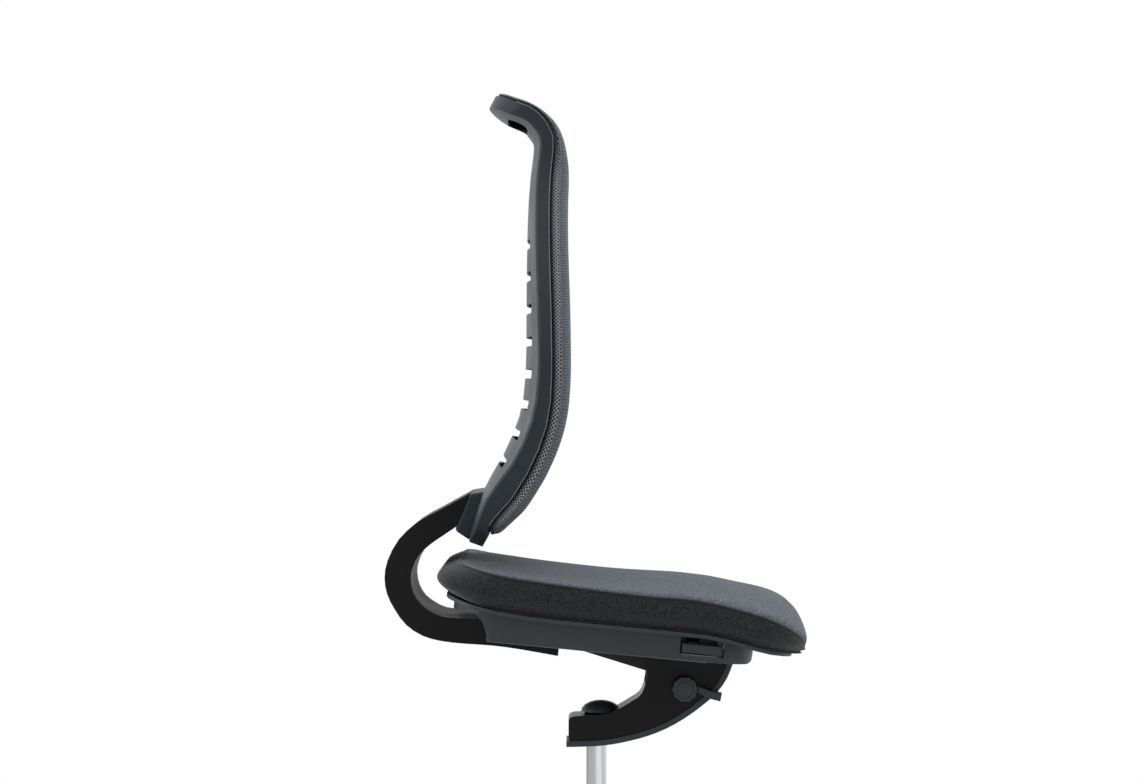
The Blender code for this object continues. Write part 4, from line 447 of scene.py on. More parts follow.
BACK_POINTS = ((-0.1680, 0.1020), (-0.1460, 0.1598), (-0.1085, 0.2115), (-0.0865, 0.2633),
               (-0.0785, 0.3180), (-0.0785, 0.3900), (-0.0815, 0.5005), (-0.0812, 0.5740),
               (-0.0768, 0.6220), (-0.0770, 0.6390), (-0.0815, 0.6480), (-0.0870, 0.6550),
               (-0.0935, 0.6613), (-0.1030, 0.6660), (-0.1162, 0.6710), (-0.1302, 0.6783),
               (-0.1451, 0.6862))
back_line = [p + Vector((0.0, SEAT_ORIGIN.z)) for p in smooth_points(BACK_POINTS, 8)]
back_lengths = [0.0]
for lower, upper in zip(back_line, back_line[1:]):
    back_lengths.append(back_lengths[-1] + (upper - lower).length)
BACK_LENGTH = back_lengths[-1]
TANGENT_REACH = 0.006


def along_back(s):
    """The point (x, z) of the back's line at an arc length."""
    return [float(np.interp(s, back_lengths, [p[k] for p in back_line])) for k in (0, 1)]


def on_back(s, across, forward):
    """World place at an arc length of the back, across it and forward of its rear corner line."""
    x, z = along_back(s)
    ahead, behind = Vector(along_back(s + TANGENT_REACH)), Vector(along_back(s - TANGENT_REACH))
    tangent = (ahead - behind).normalized()
    return Vector((x + tangent.y * forward, across, z - tangent.x * forward))


def back_height(rise):
    """Arc length at which the back reaches a rise over the seat."""
    count = max(range(len(back_line)), key=lambda i: back_line[i].y) + 1
    heights = [p.y for p in back_line[:count]]
    return float(np.interp(SEAT_ORIGIN.z + rise, heights, back_lengths[:count]))


print("back line: %.3f m long" % BACK_LENGTH)

# %% [markdown]
# ## A sewn pad
# Both cushions are sewn the same way: a face panel, a border strip round it, and a plain lining
# underneath. A box with a Subdivision modifier would lose the seam. So the pad is laid as three
# sheets of quads that share their edges, about 7 mm to a quad, with a map in metres for the weave.

# %% Pad builder
BORDER_STEPS = 8
FACE, BORDER, LINING = 0, 1, 2


def columns(count):
    """Places from -1 to 1, closer together towards both edges."""
    even = np.linspace(-1.0, 1.0, count)
    return 0.5 * even + 0.5 * np.sin(even * math.pi / 2)


def sew_pad(name, stations, count, half_of, face_of, foot_of, inset_of, to_world):
    """A closed pad of face, border and lining; returns its object and its seam points' numbers."""
    rows, last = len(stations), count - 1
    across = columns(count)
    plan = {(i, j): (p, float(across[j]) * half_of(p))
            for i, p in enumerate(stations) for j in range(count)}
    loop = [(0, j) for j in range(count)] + [(i, last) for i in range(1, rows)]
    loop += [(rows - 1, j) for j in range(last - 1, -1, -1)] + [(i, 0) for i in range(rows - 2, 0, -1)]
    on_edge = {key: n for n, key in enumerate(loop)}
    outward = []
    length = [0.0]
    for n, key in enumerate(loop):
        before, after = Vector(plan[loop[n - 1]]), Vector(plan[loop[(n + 1) % len(loop)]])
        along = (after - before).normalized()
        outward.append(Vector((along.y, -along.x)))
        length.append(length[-1] + (after - Vector(plan[key])).length)
    sign = -1.0 if outward[count // 2].x > 0 else 1.0

    mesh = bmesh.new()
    weave = mesh.loops.layers.uv.new("weave")
    face_height = {key: face_of(*plan[key]) for key in plan}
    top = {key: mesh.verts.new(to_world(*plan[key], face_height[key])) for key in plan}
    rings = [[top[key] for key in loop]]
    ring_height = [[face_height[key] for key in loop]]
    for k in range(1, BORDER_STEPS + 1):
        share = k / BORDER_STEPS
        ring, heights = [], []
        for n, key in enumerate(loop):
            p, y = Vector(plan[key]) - outward[n] * sign * inset_of(share, plan[key][0])
            height = face_height[key] + (foot_of(p) - face_height[key]) * share
            ring.append(mesh.verts.new(to_world(p, y, height)))
            heights.append(height)
        rings.append(ring)
        ring_height.append(heights)
    under = {key: rings[-1][on_edge[key]] if key in on_edge else mesh.verts.new(
        to_world(*plan[key], foot_of(plan[key][0]))) for key in plan}

    def quad(corners, places, material):
        polygon = mesh.faces.new(corners)
        polygon.material_index = material
        polygon.smooth = True
        for corner, place in zip(polygon.loops, places):
            corner[weave].uv = place

    for i in range(rows - 1):
        for j in range(last):
            keys = [(i, j), (i + 1, j), (i + 1, j + 1), (i, j + 1)]
            quad([top[key] for key in keys], [plan[key] for key in keys], FACE)
            keys.reverse()
            quad([under[key] for key in keys], [plan[key] for key in keys], LINING)
    for k in range(BORDER_STEPS):
        for n in range(len(loop)):
            after = (n + 1) % len(loop)
            corners = [rings[k][n], rings[k][after], rings[k + 1][after], rings[k + 1][n]]
            places = [(length[n], ring_height[k][n]), (length[n + 1], ring_height[k][after]),
                      (length[n + 1], ring_height[k + 1][after]), (length[n], ring_height[k + 1][n])]
            quad(corners, places, BORDER)
    bmesh.ops.recalc_face_normals(mesh, faces=mesh.faces)
    mesh.verts.index_update()
    seam = [vert.index for vert in rings[0]]
    return add_mesh(name, mesh), seam


# %% [markdown]
# ## Filling a pad
# A cushion gets its shape from foam that pushes against a cover cut slightly too small.
# Blender's Cloth does that: the border and the lining are held, and pressure swells the face
# between its seams. Twenty frames are enough. A point may move only so far, so that the pad
# keeps the place that its solid has, and the result is written to the mesh.

# %% Filling
FILL_FRAMES = 20


def fill_pad(pad, seam, pressure, most):
    """Swell the face of a pad by cloth pressure; no point moves further than most."""
    data = pad.data
    rest = [vert.co.copy() for vert in data.vertices]
    held = set(seam)
    for polygon in data.polygons:
        if polygon.material_index != FACE:
            held.update(polygon.vertices)
    group = pad.vertex_groups.new(name="held")
    group.add(list(held), 1.0, 'REPLACE')
    cloth = pad.modifiers.new("filling", 'CLOTH')
    cloth.settings.quality = 6
    cloth.settings.mass = 0.25
    cloth.settings.tension_stiffness = 12.0
    cloth.settings.compression_stiffness = 12.0
    cloth.settings.shear_stiffness = 6.0
    cloth.settings.bending_stiffness = 0.6
    cloth.settings.vertex_group_mass = "held"
    cloth.settings.use_pressure = True
    cloth.settings.uniform_pressure_force = pressure
    cloth.settings.effector_weights.gravity = 0.0
    cloth.collision_settings.use_collision = False
    cloth.point_cache.frame_start = 1
    cloth.point_cache.frame_end = FILL_FRAMES
    scene = bpy.context.scene
    for number in range(1, FILL_FRAMES + 1):
        scene.frame_set(number)
    swollen = pad.evaluated_get(bpy.context.evaluated_depsgraph_get()).data
    moves = [swollen.vertices[n].co - place for n, place in enumerate(rest)]
    pad.modifiers.remove(cloth)
    pad.vertex_groups.remove(group)
    scene.frame_set(1)
    furthest = max(move.length for move in moves)
    for vert, place, move in zip(data.vertices, rest, moves):
        vert.co = place + move * (most / max(furthest, most))
    return min(furthest, most)


def finish_pad(pad, node, body, materials):
    """Give a pad its materials, round it by one subdivision and let it stand for its solid."""
    for material in materials:
        pad.data.materials.append(material)
    rounder = pad.modifiers.new("round", 'SUBSURF')
    rounder.levels = 1
    rounder.render_levels = 1
    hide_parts(node)
    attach(pad, body)


# %% [markdown]
# ## Fabrics
# Three kinds of cloth are on the chair. The face is a fine knit with ribs across, grey with a blue
# cast. The border of the back is an open spacer mesh, dark in its holes. The seat's border is a plain
# black weave. Real threads would take millions of faces. So each cloth is drawn by waves in the pad's
# map, which is in metres, so that its pitch is real.


# %% Fabrics
def map_place(tree):
    """The two directions of a pad's map, in metres."""
    coordinates = add_node(tree, "UVMap", uv_map="weave")
    split = add_node(tree, "SeparateXYZ", {0: coordinates.outputs["UV"]})
    return split.outputs["X"], split.outputs["Y"]


def wave(tree, place, pitch):
    """A smooth wave from 0 to 1 with a pitch in metres."""
    turns = calculate(tree, 'SINE', calculate(tree, 'MULTIPLY', place, 2 * math.pi / pitch))
    return calculate(tree, 'ADD', calculate(tree, 'MULTIPLY', turns, 0.5), 0.5)


def knit(name, colour, rib, ribbing, mottle, contrast, loop_width=0.0011, depth=0.00035):
    """Fine knit with ribs across, mottled and flecked by its yarn."""
    material, tree, shader = start_finish(name, 0.86, Specular_IOR_Level=0.2, Sheen_Weight=0.12,
                                          Sheen_Roughness=0.45)
    along, across = map_place(tree)
    ribs = wave(tree, along, rib)
    loops = wave(tree, across, loop_width)
    place = place_in_metres(tree)
    fleck = noise(tree, place, 1400.0, 1.0)
    yarn = spread(tree, noise(tree, place, 300.0, 3.0, 0.8), 0.0, 1.0, 0.36, 0.64)
    patches = noise(tree, place, 22.0, 3.0)
    loop_share = calculate(tree, 'ADD', calculate(tree, 'MULTIPLY', loops, 0.35), 0.65)
    height = calculate(tree, 'MULTIPLY', ribs, loop_share)
    rest = 0.8 - ribbing - mottle
    tone = weigh(tree, (height, ribbing), (fleck, 0.2), (yarn, mottle), (patches, rest))
    colour_between(tree, shader, spread(tree, tone, 0.0, 1.0, 0.2, 0.8), *shades(colour, contrast))
    relief = calculate(tree, 'ADD', height, calculate(tree, 'MULTIPLY', fleck, 0.3))
    raise_surface(tree, shader, relief, depth, 0.7)
    return material


def spacer_mesh(name, strand, hole, low, high, pitch=0.0049):
    """Open lattice of diamonds over dark holes, with painted shade that darkens it towards the rim."""
    material, tree, shader = start_finish(name, 0.7, Specular_IOR_Level=0.2, Sheen_Weight=0.15)
    along, depth = map_place(tree)
    rising = wave(tree, calculate(tree, 'ADD', along, depth), pitch)
    falling = wave(tree, calculate(tree, 'SUBTRACT', along, depth), pitch)
    strands = calculate(tree, 'MAXIMUM', rising, falling)
    cover = spread(tree, strands, 0.0, 1.0, 0.62, 0.88)
    # Painted shade: the lattice fades to the dark of its holes as it goes into the rim.
    painted_rim_shade = spread(tree, depth, 0.0, 1.0, low, high)
    shown = calculate(tree, 'MULTIPLY', cover, calculate(tree, 'POWER', painted_rim_shade, 1.7))
    colour_between(tree, shader, shown, hole, strand)
    raise_surface(tree, shader, cover, 0.0009, 1.0)
    return material


def plain_weave(name, colour, pitch=0.0014, contrast=0.5):
    """Plain weave, over one and under one."""
    material, tree, shader = start_finish(name, 0.88, Specular_IOR_Level=0.2, Sheen_Weight=0.2)
    along, across = map_place(tree)
    over = calculate(tree, 'MULTIPLY', calculate(tree, 'SUBTRACT', wave(tree, along, pitch), 0.5),
                     calculate(tree, 'SUBTRACT', wave(tree, across, pitch), 0.5))
    height = calculate(tree, 'ADD', calculate(tree, 'MULTIPLY', over, 2.0), 0.5)
    fleck = spread(tree, noise(tree, place_in_metres(tree), 420.0, 3.0, 0.8), 0.0, 1.0, 0.36, 0.64)
    tone = weigh(tree, (height, 0.3), (fleck, 0.7))
    colour_between(tree, shader, spread(tree, tone, 0.0, 1.0, 0.2, 0.8), *shades(colour, contrast))
    raise_surface(tree, shader, height, 0.0003, 0.6)
    return material


def sewing_thread(name, colour):
    """Twisted thread."""
    material, tree, shader = start_finish(name, 0.7, Specular_IOR_Level=0.3)
    twist = noise(tree, place_in_metres(tree), 2500.0, 1.0)
    dark = tuple(c * 0.6 for c in colour)
    colour_between(tree, shader, spread(tree, twist, 0.0, 1.0), dark, colour)
    raise_surface(tree, shader, twist, 0.0001, 0.6)
    return material


FACE_KNIT = knit("blue_grey_knit", (0.110, 0.127, 0.146), 0.0037, 0.38, 0.25, 0.55)
SEAT_KNIT = knit("seat_knit", (0.101, 0.117, 0.141), 0.0015, 0.25, 0.5, 0.75)
# The last two numbers are depths: below the first the spacer is all painted shade, above the second
# none.
SPACER = spacer_mesh("border_spacer", (0.54, 0.58, 0.64), (0.006, 0.006, 0.007), 0.0188, 0.0282)
BLACK_WEAVE = plain_weave("seat_border_weave", (0.0185, 0.0193, 0.0210), contrast=0.9)
LINING_WEAVE = plain_weave("black_lining", (0.008, 0.008, 0.009))
SEAM_WEAVE = plain_weave("seam_fold", (0.030, 0.033, 0.038))
BACK_FOLD_WEAVE = plain_weave("back_fold", (0.135, 0.148, 0.166))
THREAD = sewing_thread("grey_thread", (0.10, 0.105, 0.115))
print("fabrics: eight")

# %% [markdown]
# ## Seat cushion
# The seat is a waterfall pad: nearly level, lifted at the rear and rolled down at the front.
# Seen from the side, its face panel ends in a seam about two thirds up, and a black border hangs
# from that seam to the pan. The face rises quickly from the seam and then crowns to the middle.
# At the front, the nose reaches forward and curls back under, as a cover does that is pulled tight.
# The form could be sculpted, but one height for each place of its plan is easier to correct.

# %% Seat cushion
SEAT_HALF, SEAT_REAR, SEAT_FRONT, SEAT_CORNER = 0.2395, -0.190, 0.276, 0.075
SEAT_ROLL, SEAT_ROLL_HEIGHT, SEAT_CROWN = 0.016, 0.006, 2.6
SEAT_SWELL, LEAST_RISE = 0.007, 0.001
LINING_CLEAR, REAR_LIFT, REAR_LIFT_LENGTH = 0.0006, 0.003, 0.055
REAR_BELLY, SIDE_BELLY, BELLY_LENGTH, BELLY_SKEW, BELLY_FULLNESS = 0.0245, 0.0025, 0.065, 1.1, 0.7
FOOT_INSET, REAR_SPREAD, INSET_FROM = 0.011, 0.021, 0.5
NOSE_LENGTH, NOSE_REACH = 0.050, 0.0042
CURL_FROM, CURL_HEIGHT, CURL_DEPTH = 0.010, 0.017, 0.0072
SEAT_COLUMNS, SEAT_ROWS, SEAT_CORNER_ROWS = 57, 48, 10
SEAT_PRESSURE, SEAT_MOST_SWELL, SEAT_FILL = 4.0, 0.005, 0.8


def seat_half(along):
    """Half width of the seat's plan, with round corners."""
    inset = min(max(SEAT_REAR + SEAT_CORNER - along, along - SEAT_FRONT + SEAT_CORNER, 0.0), SEAT_CORNER)
    return SEAT_HALF - SEAT_CORNER + math.sqrt(SEAT_CORNER ** 2 - inset ** 2)


def seat_face(along, across):
    """Height of the face panel over the seat plane, before it is filled."""
    half = seat_half(along)
    seam = seat_seam(along)
    rise = max(seat_top(along) - SEAT_SWELL - seam, LEAST_RISE)
    out = min(abs(across) / half, 1.0)
    roll_height = min(SEAT_ROLL_HEIGHT, rise * 0.5)
    roll = roll_height * quarter_round((1.0 - out) * half / SEAT_ROLL)
    return seam + roll + (rise - roll_height) * (1.0 - out ** SEAT_CROWN)


def seat_foot(along):
    """Height of the lining: on the pan, and lifted off it at the rear lip."""
    rear = ease((SEAT_REAR + REAR_LIFT_LENGTH - along) / REAR_LIFT_LENGTH)
    return pan_top(along) + LINING_CLEAR + REAR_LIFT * rear


def seat_inset(share, along):
    """How far the border stands inside the seam: full below it, most at the rear, then drawn in."""
    rear = ease((SEAT_REAR + BELLY_LENGTH - along) / BELLY_LENGTH)
    belly = SIDE_BELLY + (REAR_BELLY - SIDE_BELLY) * rear
    drawn_in = (FOOT_INSET - REAR_SPREAD * rear) * ease((share - INSET_FROM) / (1.0 - INSET_FROM))
    return drawn_in - belly * math.sin(math.pi * share ** BELLY_SKEW) ** BELLY_FULLNESS


def on_seat_pad(along, across, above):
    """A place on the seat's pad, whose nose reaches forward and curls back under its foremost line."""
    front = ease((along - SEAT_FRONT + NOSE_LENGTH) / NOSE_LENGTH)
    under = min(max(CURL_FROM - above, 0.0) / CURL_HEIGHT, 1.0)
    return on_seat(along + front * (NOSE_REACH - CURL_DEPTH * under ** 2), across, above)


turns = [k * math.pi / (2 * SEAT_CORNER_ROWS) for k in range(1, SEAT_CORNER_ROWS)]
seat_stations = [SEAT_REAR] + [SEAT_REAR + SEAT_CORNER * (1 - math.cos(a)) for a in turns]
straight = np.linspace(SEAT_REAR + SEAT_CORNER, SEAT_FRONT - SEAT_CORNER, SEAT_ROWS)
seat_stations += [float(v) for v in straight]
seat_stations += [SEAT_FRONT - SEAT_CORNER * (1 - math.cos(a)) for a in reversed(turns)] + [SEAT_FRONT]
seat_pad, seat_seam_points = sew_pad("seat_pad", seat_stations, SEAT_COLUMNS, seat_half, seat_face,
                                     seat_foot, seat_inset, on_seat_pad)
swell = fill_pad(seat_pad, seat_seam_points, SEAT_PRESSURE, SEAT_MOST_SWELL)
finish_pad(seat_pad, "seat_cushion", "seat", (SEAT_KNIT, BLACK_WEAVE, LINING_WEAVE))
print("seat pad: %d points, face swells %.1f mm" % (len(seat_pad.data.vertices), swell * 1000))

# %% [markdown]
# ## Back cushion
# The back's pad sits in the shell's rim and stands about 27 mm in front of it. Its border is the
# spacer mesh, its face a slightly hollow knit panel, and both thin out where the pad goes over the
# handle at the top. The widths are the shell's own, so the pad follows its outline. Near the foot the
# rim grows deeper by a few millimetres, and the pad stands further forward by as much. A copy of the
# solid could be swelled instead, but drawn along the back's own line the pad follows every change of it.

# %% Back cushion
SHELL_WALL, RIM_DEPTH, PAD_GAP = 0.0035, 0.018, 0.0012
BACK_HALF, FOOT_HALF, HANDLE_HALF = 0.216, 0.186, 0.102
BACK_CORNER, HANDLE_ROUND, HANDLE_TIP = 0.030, 0.050, 0.020
TAPER_FROM, TAPER_TO, TAPER_EASE = back_height(0.240), back_height(0.648), 1.3
NECK_FROM, NECK_LENGTH, NECK_THINNING = back_height(0.588), 0.088, 0.75
PAD_FOOT, PAD_TIP, PAD_INSET = 0.020, BACK_LENGTH - SHELL_WALL - PAD_GAP, 0.003
PAD_END, PAD_END_SHARE = 0.030, 0.3
LINING_SINK = 0.006
SEAM_TUCK, SEAM_TUCK_END = 0.0020, 0.4
RIM_TUCK, RIM_TUCK_FROM, RIM_TUCK_LENGTH = 0.0040, 0.45, 0.2
BORDER_DEPTH, FACE_DEPTH, FACE_HOLLOW, FACE_ROLL = 0.012, 0.014, 0.005, 0.022
BACK_SWELL = 0.003
BACK_COLUMNS, BACK_CORNER_ROWS, BACK_TIP_ROWS, BACK_ROW_STEP = 57, 8, 9, 0.0075
BACK_PRESSURE, BACK_MOST_SWELL, BACK_FILL = 3.0, 0.004, 0.7
rim_growth = reader(((0.020, 0.0), (0.030, 0.0), (0.038, 0.0014), (0.048, 0.0040), (0.060, 0.0068),
                     (0.072, 0.0084), (0.086, 0.0089), (0.100, 0.0079), (0.115, 0.0064),
                     (0.136, 0.0047), (0.160, 0.0038), (0.185, 0.0030), (0.205, 0.0020),
                     (0.225, 0.0010), (0.250, 0.0003), (0.270, 0.0), (0.300, 0.0)))


def back_half(s, foot=0.0):
    """Half width of the back: round corners at its foot, drawn in to a round-tipped handle."""
    widening = math.sin(math.pi / 2 * min(max(s, 0.0) / TAPER_FROM, 1.0))
    half = FOOT_HALF + (BACK_HALF - FOOT_HALF) * widening
    narrow = max(s - TAPER_FROM, 0.0) / (TAPER_TO - TAPER_FROM)
    half += (HANDLE_HALF - BACK_HALF) * ease(narrow ** TAPER_EASE)
    corner = min(max(BACK_CORNER - (s - foot), 0.0), BACK_CORNER)
    half -= BACK_CORNER - math.sqrt(BACK_CORNER ** 2 - corner ** 2)
    tip = min(max(1.0 - (BACK_LENGTH - s) / HANDLE_ROUND, 0.0), 1.0)
    return max(half * math.sqrt(1.0 - tip * tip), HANDLE_TIP)


def pad_share(s):
    """Thickness of the pad: full up to the neck, thin over the handle, and eased off at both ends."""
    thin = 1.0 - NECK_THINNING * ease((s - NECK_FROM) / NECK_LENGTH)
    end = quarter_round(min(s - PAD_FOOT, PAD_TIP - s) / PAD_END)
    return thin * (PAD_END_SHARE + (1.0 - PAD_END_SHARE) * end)


def pad_half(s):
    """Half width of the pad, just inside the shell's."""
    return back_half(s, PAD_FOOT) - PAD_INSET


def pad_face(s, across):
    """How far the face stands in front of the shell's corner line, before it is filled."""
    half = pad_half(s)
    share = pad_share(s)
    inside = max(half - abs(across), 0.0)
    roll = min(FACE_ROLL, half / 2)
    rise = quarter_round(inside / roll)
    hollow = ease((inside - roll) / max(half - roll, 0.001))
    depth = BORDER_DEPTH + FACE_DEPTH * rise - FACE_HOLLOW * hollow - BACK_SWELL * rise
    return RIM_DEPTH + PAD_GAP + depth * share


def pad_lining(_):
    """How far the lining stands in front of the shell's corner line: the same all along."""
    return RIM_DEPTH - LINING_SINK


def pad_inset(share, _):
    """The border is tucked under the seam, bellies out, and goes in to the shell's rim."""
    tuck = SEAM_TUCK * math.sin(math.pi * min(share / SEAM_TUCK_END, 1.0))
    return tuck + RIM_TUCK * ease((share - RIM_TUCK_FROM) / RIM_TUCK_LENGTH)


def on_pad(s, across, forward):
    """A place on the pad, which stands further forward where the rim is deeper; its lining stays."""
    share = ease((forward - pad_lining(s)) / (RIM_DEPTH - pad_lining(s)))
    return on_back(s, across, forward + rim_growth(s) * share)


corner_turns = [k * math.pi / (2 * BACK_CORNER_ROWS) for k in range(BACK_CORNER_ROWS)]
back_stations = [PAD_FOOT + BACK_CORNER * (1 - math.cos(a)) for a in corner_turns]
steps = int((PAD_TIP - HANDLE_ROUND - PAD_FOOT - BACK_CORNER) / BACK_ROW_STEP)
straight = np.linspace(PAD_FOOT + BACK_CORNER, BACK_LENGTH - HANDLE_ROUND, steps)
back_stations += [float(v) for v in straight]
tip_shares = [(1 - k / BACK_TIP_ROWS) ** 2 for k in range(1, BACK_TIP_ROWS + 1)]
back_stations += [PAD_TIP - (HANDLE_ROUND - SHELL_WALL - PAD_GAP) * share for share in tip_shares]
back_pad, back_seam_points = sew_pad("back_pad", back_stations, BACK_COLUMNS, pad_half, pad_face,
                                     pad_lining, pad_inset, on_pad)
swell = fill_pad(back_pad, back_seam_points, BACK_PRESSURE, BACK_MOST_SWELL)
finish_pad(back_pad, "back_cushion", "seat_back", (FACE_KNIT, SPACER, LINING_WEAVE))
print("back pad: %d points, face swells %.1f mm" % (len(back_pad.data.vertices), swell * 1000))

# %% [markdown]
# ## Seams
# Where the face meets the border, both cloths are folded in and sewn. On the outside that shows as a
# thin fold, and on the seat as a row of top stitches beside it. Points of the pad itself could be moved
# for that, but the pad would need many more of them. So the fold is a curve with a round bevel through
# the seam points of the filled pad, and the stitches are small spindles, one mesh in all.

# %% Seams
FOLD_RADIUS = 0.0011
STITCH_LENGTH, STITCH_PITCH, STITCH_RADIUS = 0.0042, 0.0066, 0.00042
STITCH_INSET = 0.0040
SEAT_CENTRE = on_seat(0.03, 0.0, 0.06)


def round_line(name, places, radius, resolution, finish):
    """A line of points with a round bevel."""
    curve = bpy.data.curves.new(name, 'CURVE')
    curve.dimensions = '3D'
    curve.bevel_depth = radius
    curve.bevel_resolution = resolution
    curve.materials.append(finish)
    spline = curve.splines.new('POLY')
    spline.points.add(len(places) - 1)
    for point, place in zip(spline.points, places):
        point.co = (*place, 1.0)
    return add_object(name, curve)


def add_fold(name, pad, points, body, cloth):
    """A folded edge along a pad's seam."""
    fold = round_line(name, [pad.data.vertices[n].co for n in points], FOLD_RADIUS, 2, cloth)
    fold.data.splines[0].use_cyclic_u = True
    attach(fold, body)


def add_stitches(name, pad, points, centre, body):
    """Top stitches beside a pad's seam, on the side of the face."""
    places = [pad.data.vertices[n].co.copy() for n in points]
    normals = [pad.data.vertices[n].normal.copy() for n in points]
    mesh = bmesh.new()
    travelled, wanted = 0.0, 0.0
    for n, place in enumerate(places):
        after = places[(n + 1) % len(places)]
        step = after - place
        while wanted < travelled + step.length:
            along = step.normalized()
            middle = place + along * (wanted - travelled)
            inward = (centre - middle) - along * (centre - middle).dot(along)
            rise = normals[n] - along * normals[n].dot(along)
            side = (inward - rise.normalized() * inward.dot(rise.normalized())).normalized()
            _, middle, rise, _ = pad.closest_point_on_mesh(middle + side * STITCH_INSET)
            side = rise.cross(along).normalized()
            middle += rise * STITCH_RADIUS / 2
            frame_of_stitch = Matrix((along, side, along.cross(side))).transposed().to_4x4()
            frame_of_stitch.translation = middle
            size = Matrix.Diagonal((STITCH_LENGTH / 2, STITCH_RADIUS, STITCH_RADIUS, 1.0))
            bmesh.ops.create_icosphere(mesh, subdivisions=1, radius=1.0, matrix=frame_of_stitch @ size)
            wanted += STITCH_PITCH
        travelled += step.length
    stitches = add_mesh(name, mesh, THREAD)
    stitches.data.shade_smooth()
    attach(stitches, body)
    return int(wanted / STITCH_PITCH)


add_fold("seat_seam_fold", seat_pad, seat_seam_points, "seat", SEAM_WEAVE)
add_fold("back_seam_fold", back_pad, back_seam_points, "seat_back", BACK_FOLD_WEAVE)
stitch_count = add_stitches("seat_stitches", seat_pad, seat_seam_points, SEAT_CENTRE, "seat")
print("seams: two folds and", stitch_count, "stitches")

# %% [markdown]
# ## Rim lip
# The shell's rim is deeper towards its foot, so that the pad's edge keeps one even sweep. A strip on
# each side makes up that depth. Moving points of the solid would do it too, but the solid stays as it
# is packed. So the strip is a closed bar, four points at each station, that starts on the rim's own
# corner: the nearest place of the solid to a point drawn just outside that corner.

# %% Rim lip
CORNER_CLEAR, EDGE_STEP = 0.004, 0.006
LIP_FROM, LIP_TO, LIP_RADIUS = 0.036, 0.250, 0.0004
LIP_ROOT, LIP_PROUD, LIP_WALL = 0.0016, 0.0001, 0.0030


def nearest(node, outside):
    """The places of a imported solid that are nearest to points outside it."""
    return [NODES[node].closest_point_on_mesh(point)[1] for point in outside]


def rim_forward(s):
    """The direction in which the rim stands forward."""
    return on_back(s, 0.0, 1.0) - on_back(s, 0.0, 0.0)


def rim_corner(s, side):
    """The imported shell's outer front corner on one side."""
    outside = on_back(s, side * (back_half(s) + CORNER_CLEAR), RIM_DEPTH + CORNER_CLEAR)
    return nearest("back_shell", [outside])[0]


def rim_crest(s, side):
    """The front corner of the rim with its lip."""
    return rim_corner(s, side) + rim_forward(s) * rim_growth(s)


def add_lip(name, places, side):
    """A strip on the shell's rim that makes it as deep as the pad needs."""
    mesh = bmesh.new()
    outward = ACROSS * side
    rings = []
    for s in places:
        root, crest = rim_corner(s, side) - rim_forward(s) * LIP_ROOT, rim_crest(s, side)
        section = (root + outward * LIP_PROUD, crest + outward * LIP_PROUD,
                   crest - outward * LIP_WALL, root - outward * LIP_WALL)
        rings.append([mesh.verts.new(point) for point in section])
    for lower, upper in zip(rings, rings[1:]):
        for k in range(4):
            mesh.faces.new((lower[k], lower[(k + 1) % 4], upper[(k + 1) % 4], upper[k]))
    mesh.faces.new(rings[0])
    mesh.faces.new(rings[-1])
    bmesh.ops.recalc_face_normals(mesh, faces=mesh.faces)
    lip = add_mesh(name, mesh, SHELL_PLASTIC)
    soften(lip, LIP_RADIUS)
    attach(lip, "seat_back")


SIDES = ((-1.0, "right"), (1.0, "left"))
lip_places = [float(s) for s in np.arange(LIP_FROM, LIP_TO, EDGE_STEP)]
for side, hand in SIDES:
    add_lip("rim_lip_" + hand, lip_places, side)
print("rim lips: two, with", len(lip_places), "stations each")

# %% [markdown]
# ## Parting lines of the shell and the pan, with painted highlights
# Each moulding has a fine raised bead where the two halves of its mould meet: down the shell's front
# edge, along the foot of the pan's skirt and round the handle's recess. Its plastic is much lighter than
# the moulding's, a painted highlight for the thin line of light along these edges. A bevel can't give
# it, because it stands proud. It is a round-bevelled curve, and its points are found on the imported
# solids as those of the lip are.

# %% Edge beads
SHELL_BEAD, PAN_BEAD, RECESS_BEAD = 0.0007, 0.0005, 0.0008
# Much lighter than the charcoal mouldings: a painted highlight along their edges.
PAINTED_HIGHLIGHT_BEAD = moulded("bead_painted_highlight", (0.130, 0.142, 0.152), 0.38, gloss=0.5)
PAN_SKIRT_OUT, PAN_SKIRT_UNDER = 0.218 + CORNER_CLEAR, -0.0373 - CORNER_CLEAR
PAN_BEAD_FROM, PAN_BEAD_TO = -0.178, 0.150
RECESS_FROM, RECESS_END, RECESS_ALONG_POINTS = 0.112, 0.1655, 10
RECESS_FOOT, RECESS_TOP, RECESS_UP_POINTS = -0.0290, -0.011, 5


def add_bead(name, places, radius, body):
    """A bead along the places of an edge, in light plastic that paints a highlight on it."""
    bead = round_line(name, places, radius, 1, PAINTED_HIGHLIGHT_BEAD)
    bead.data.use_fill_caps = True
    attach(bead, body)
    return len(places)


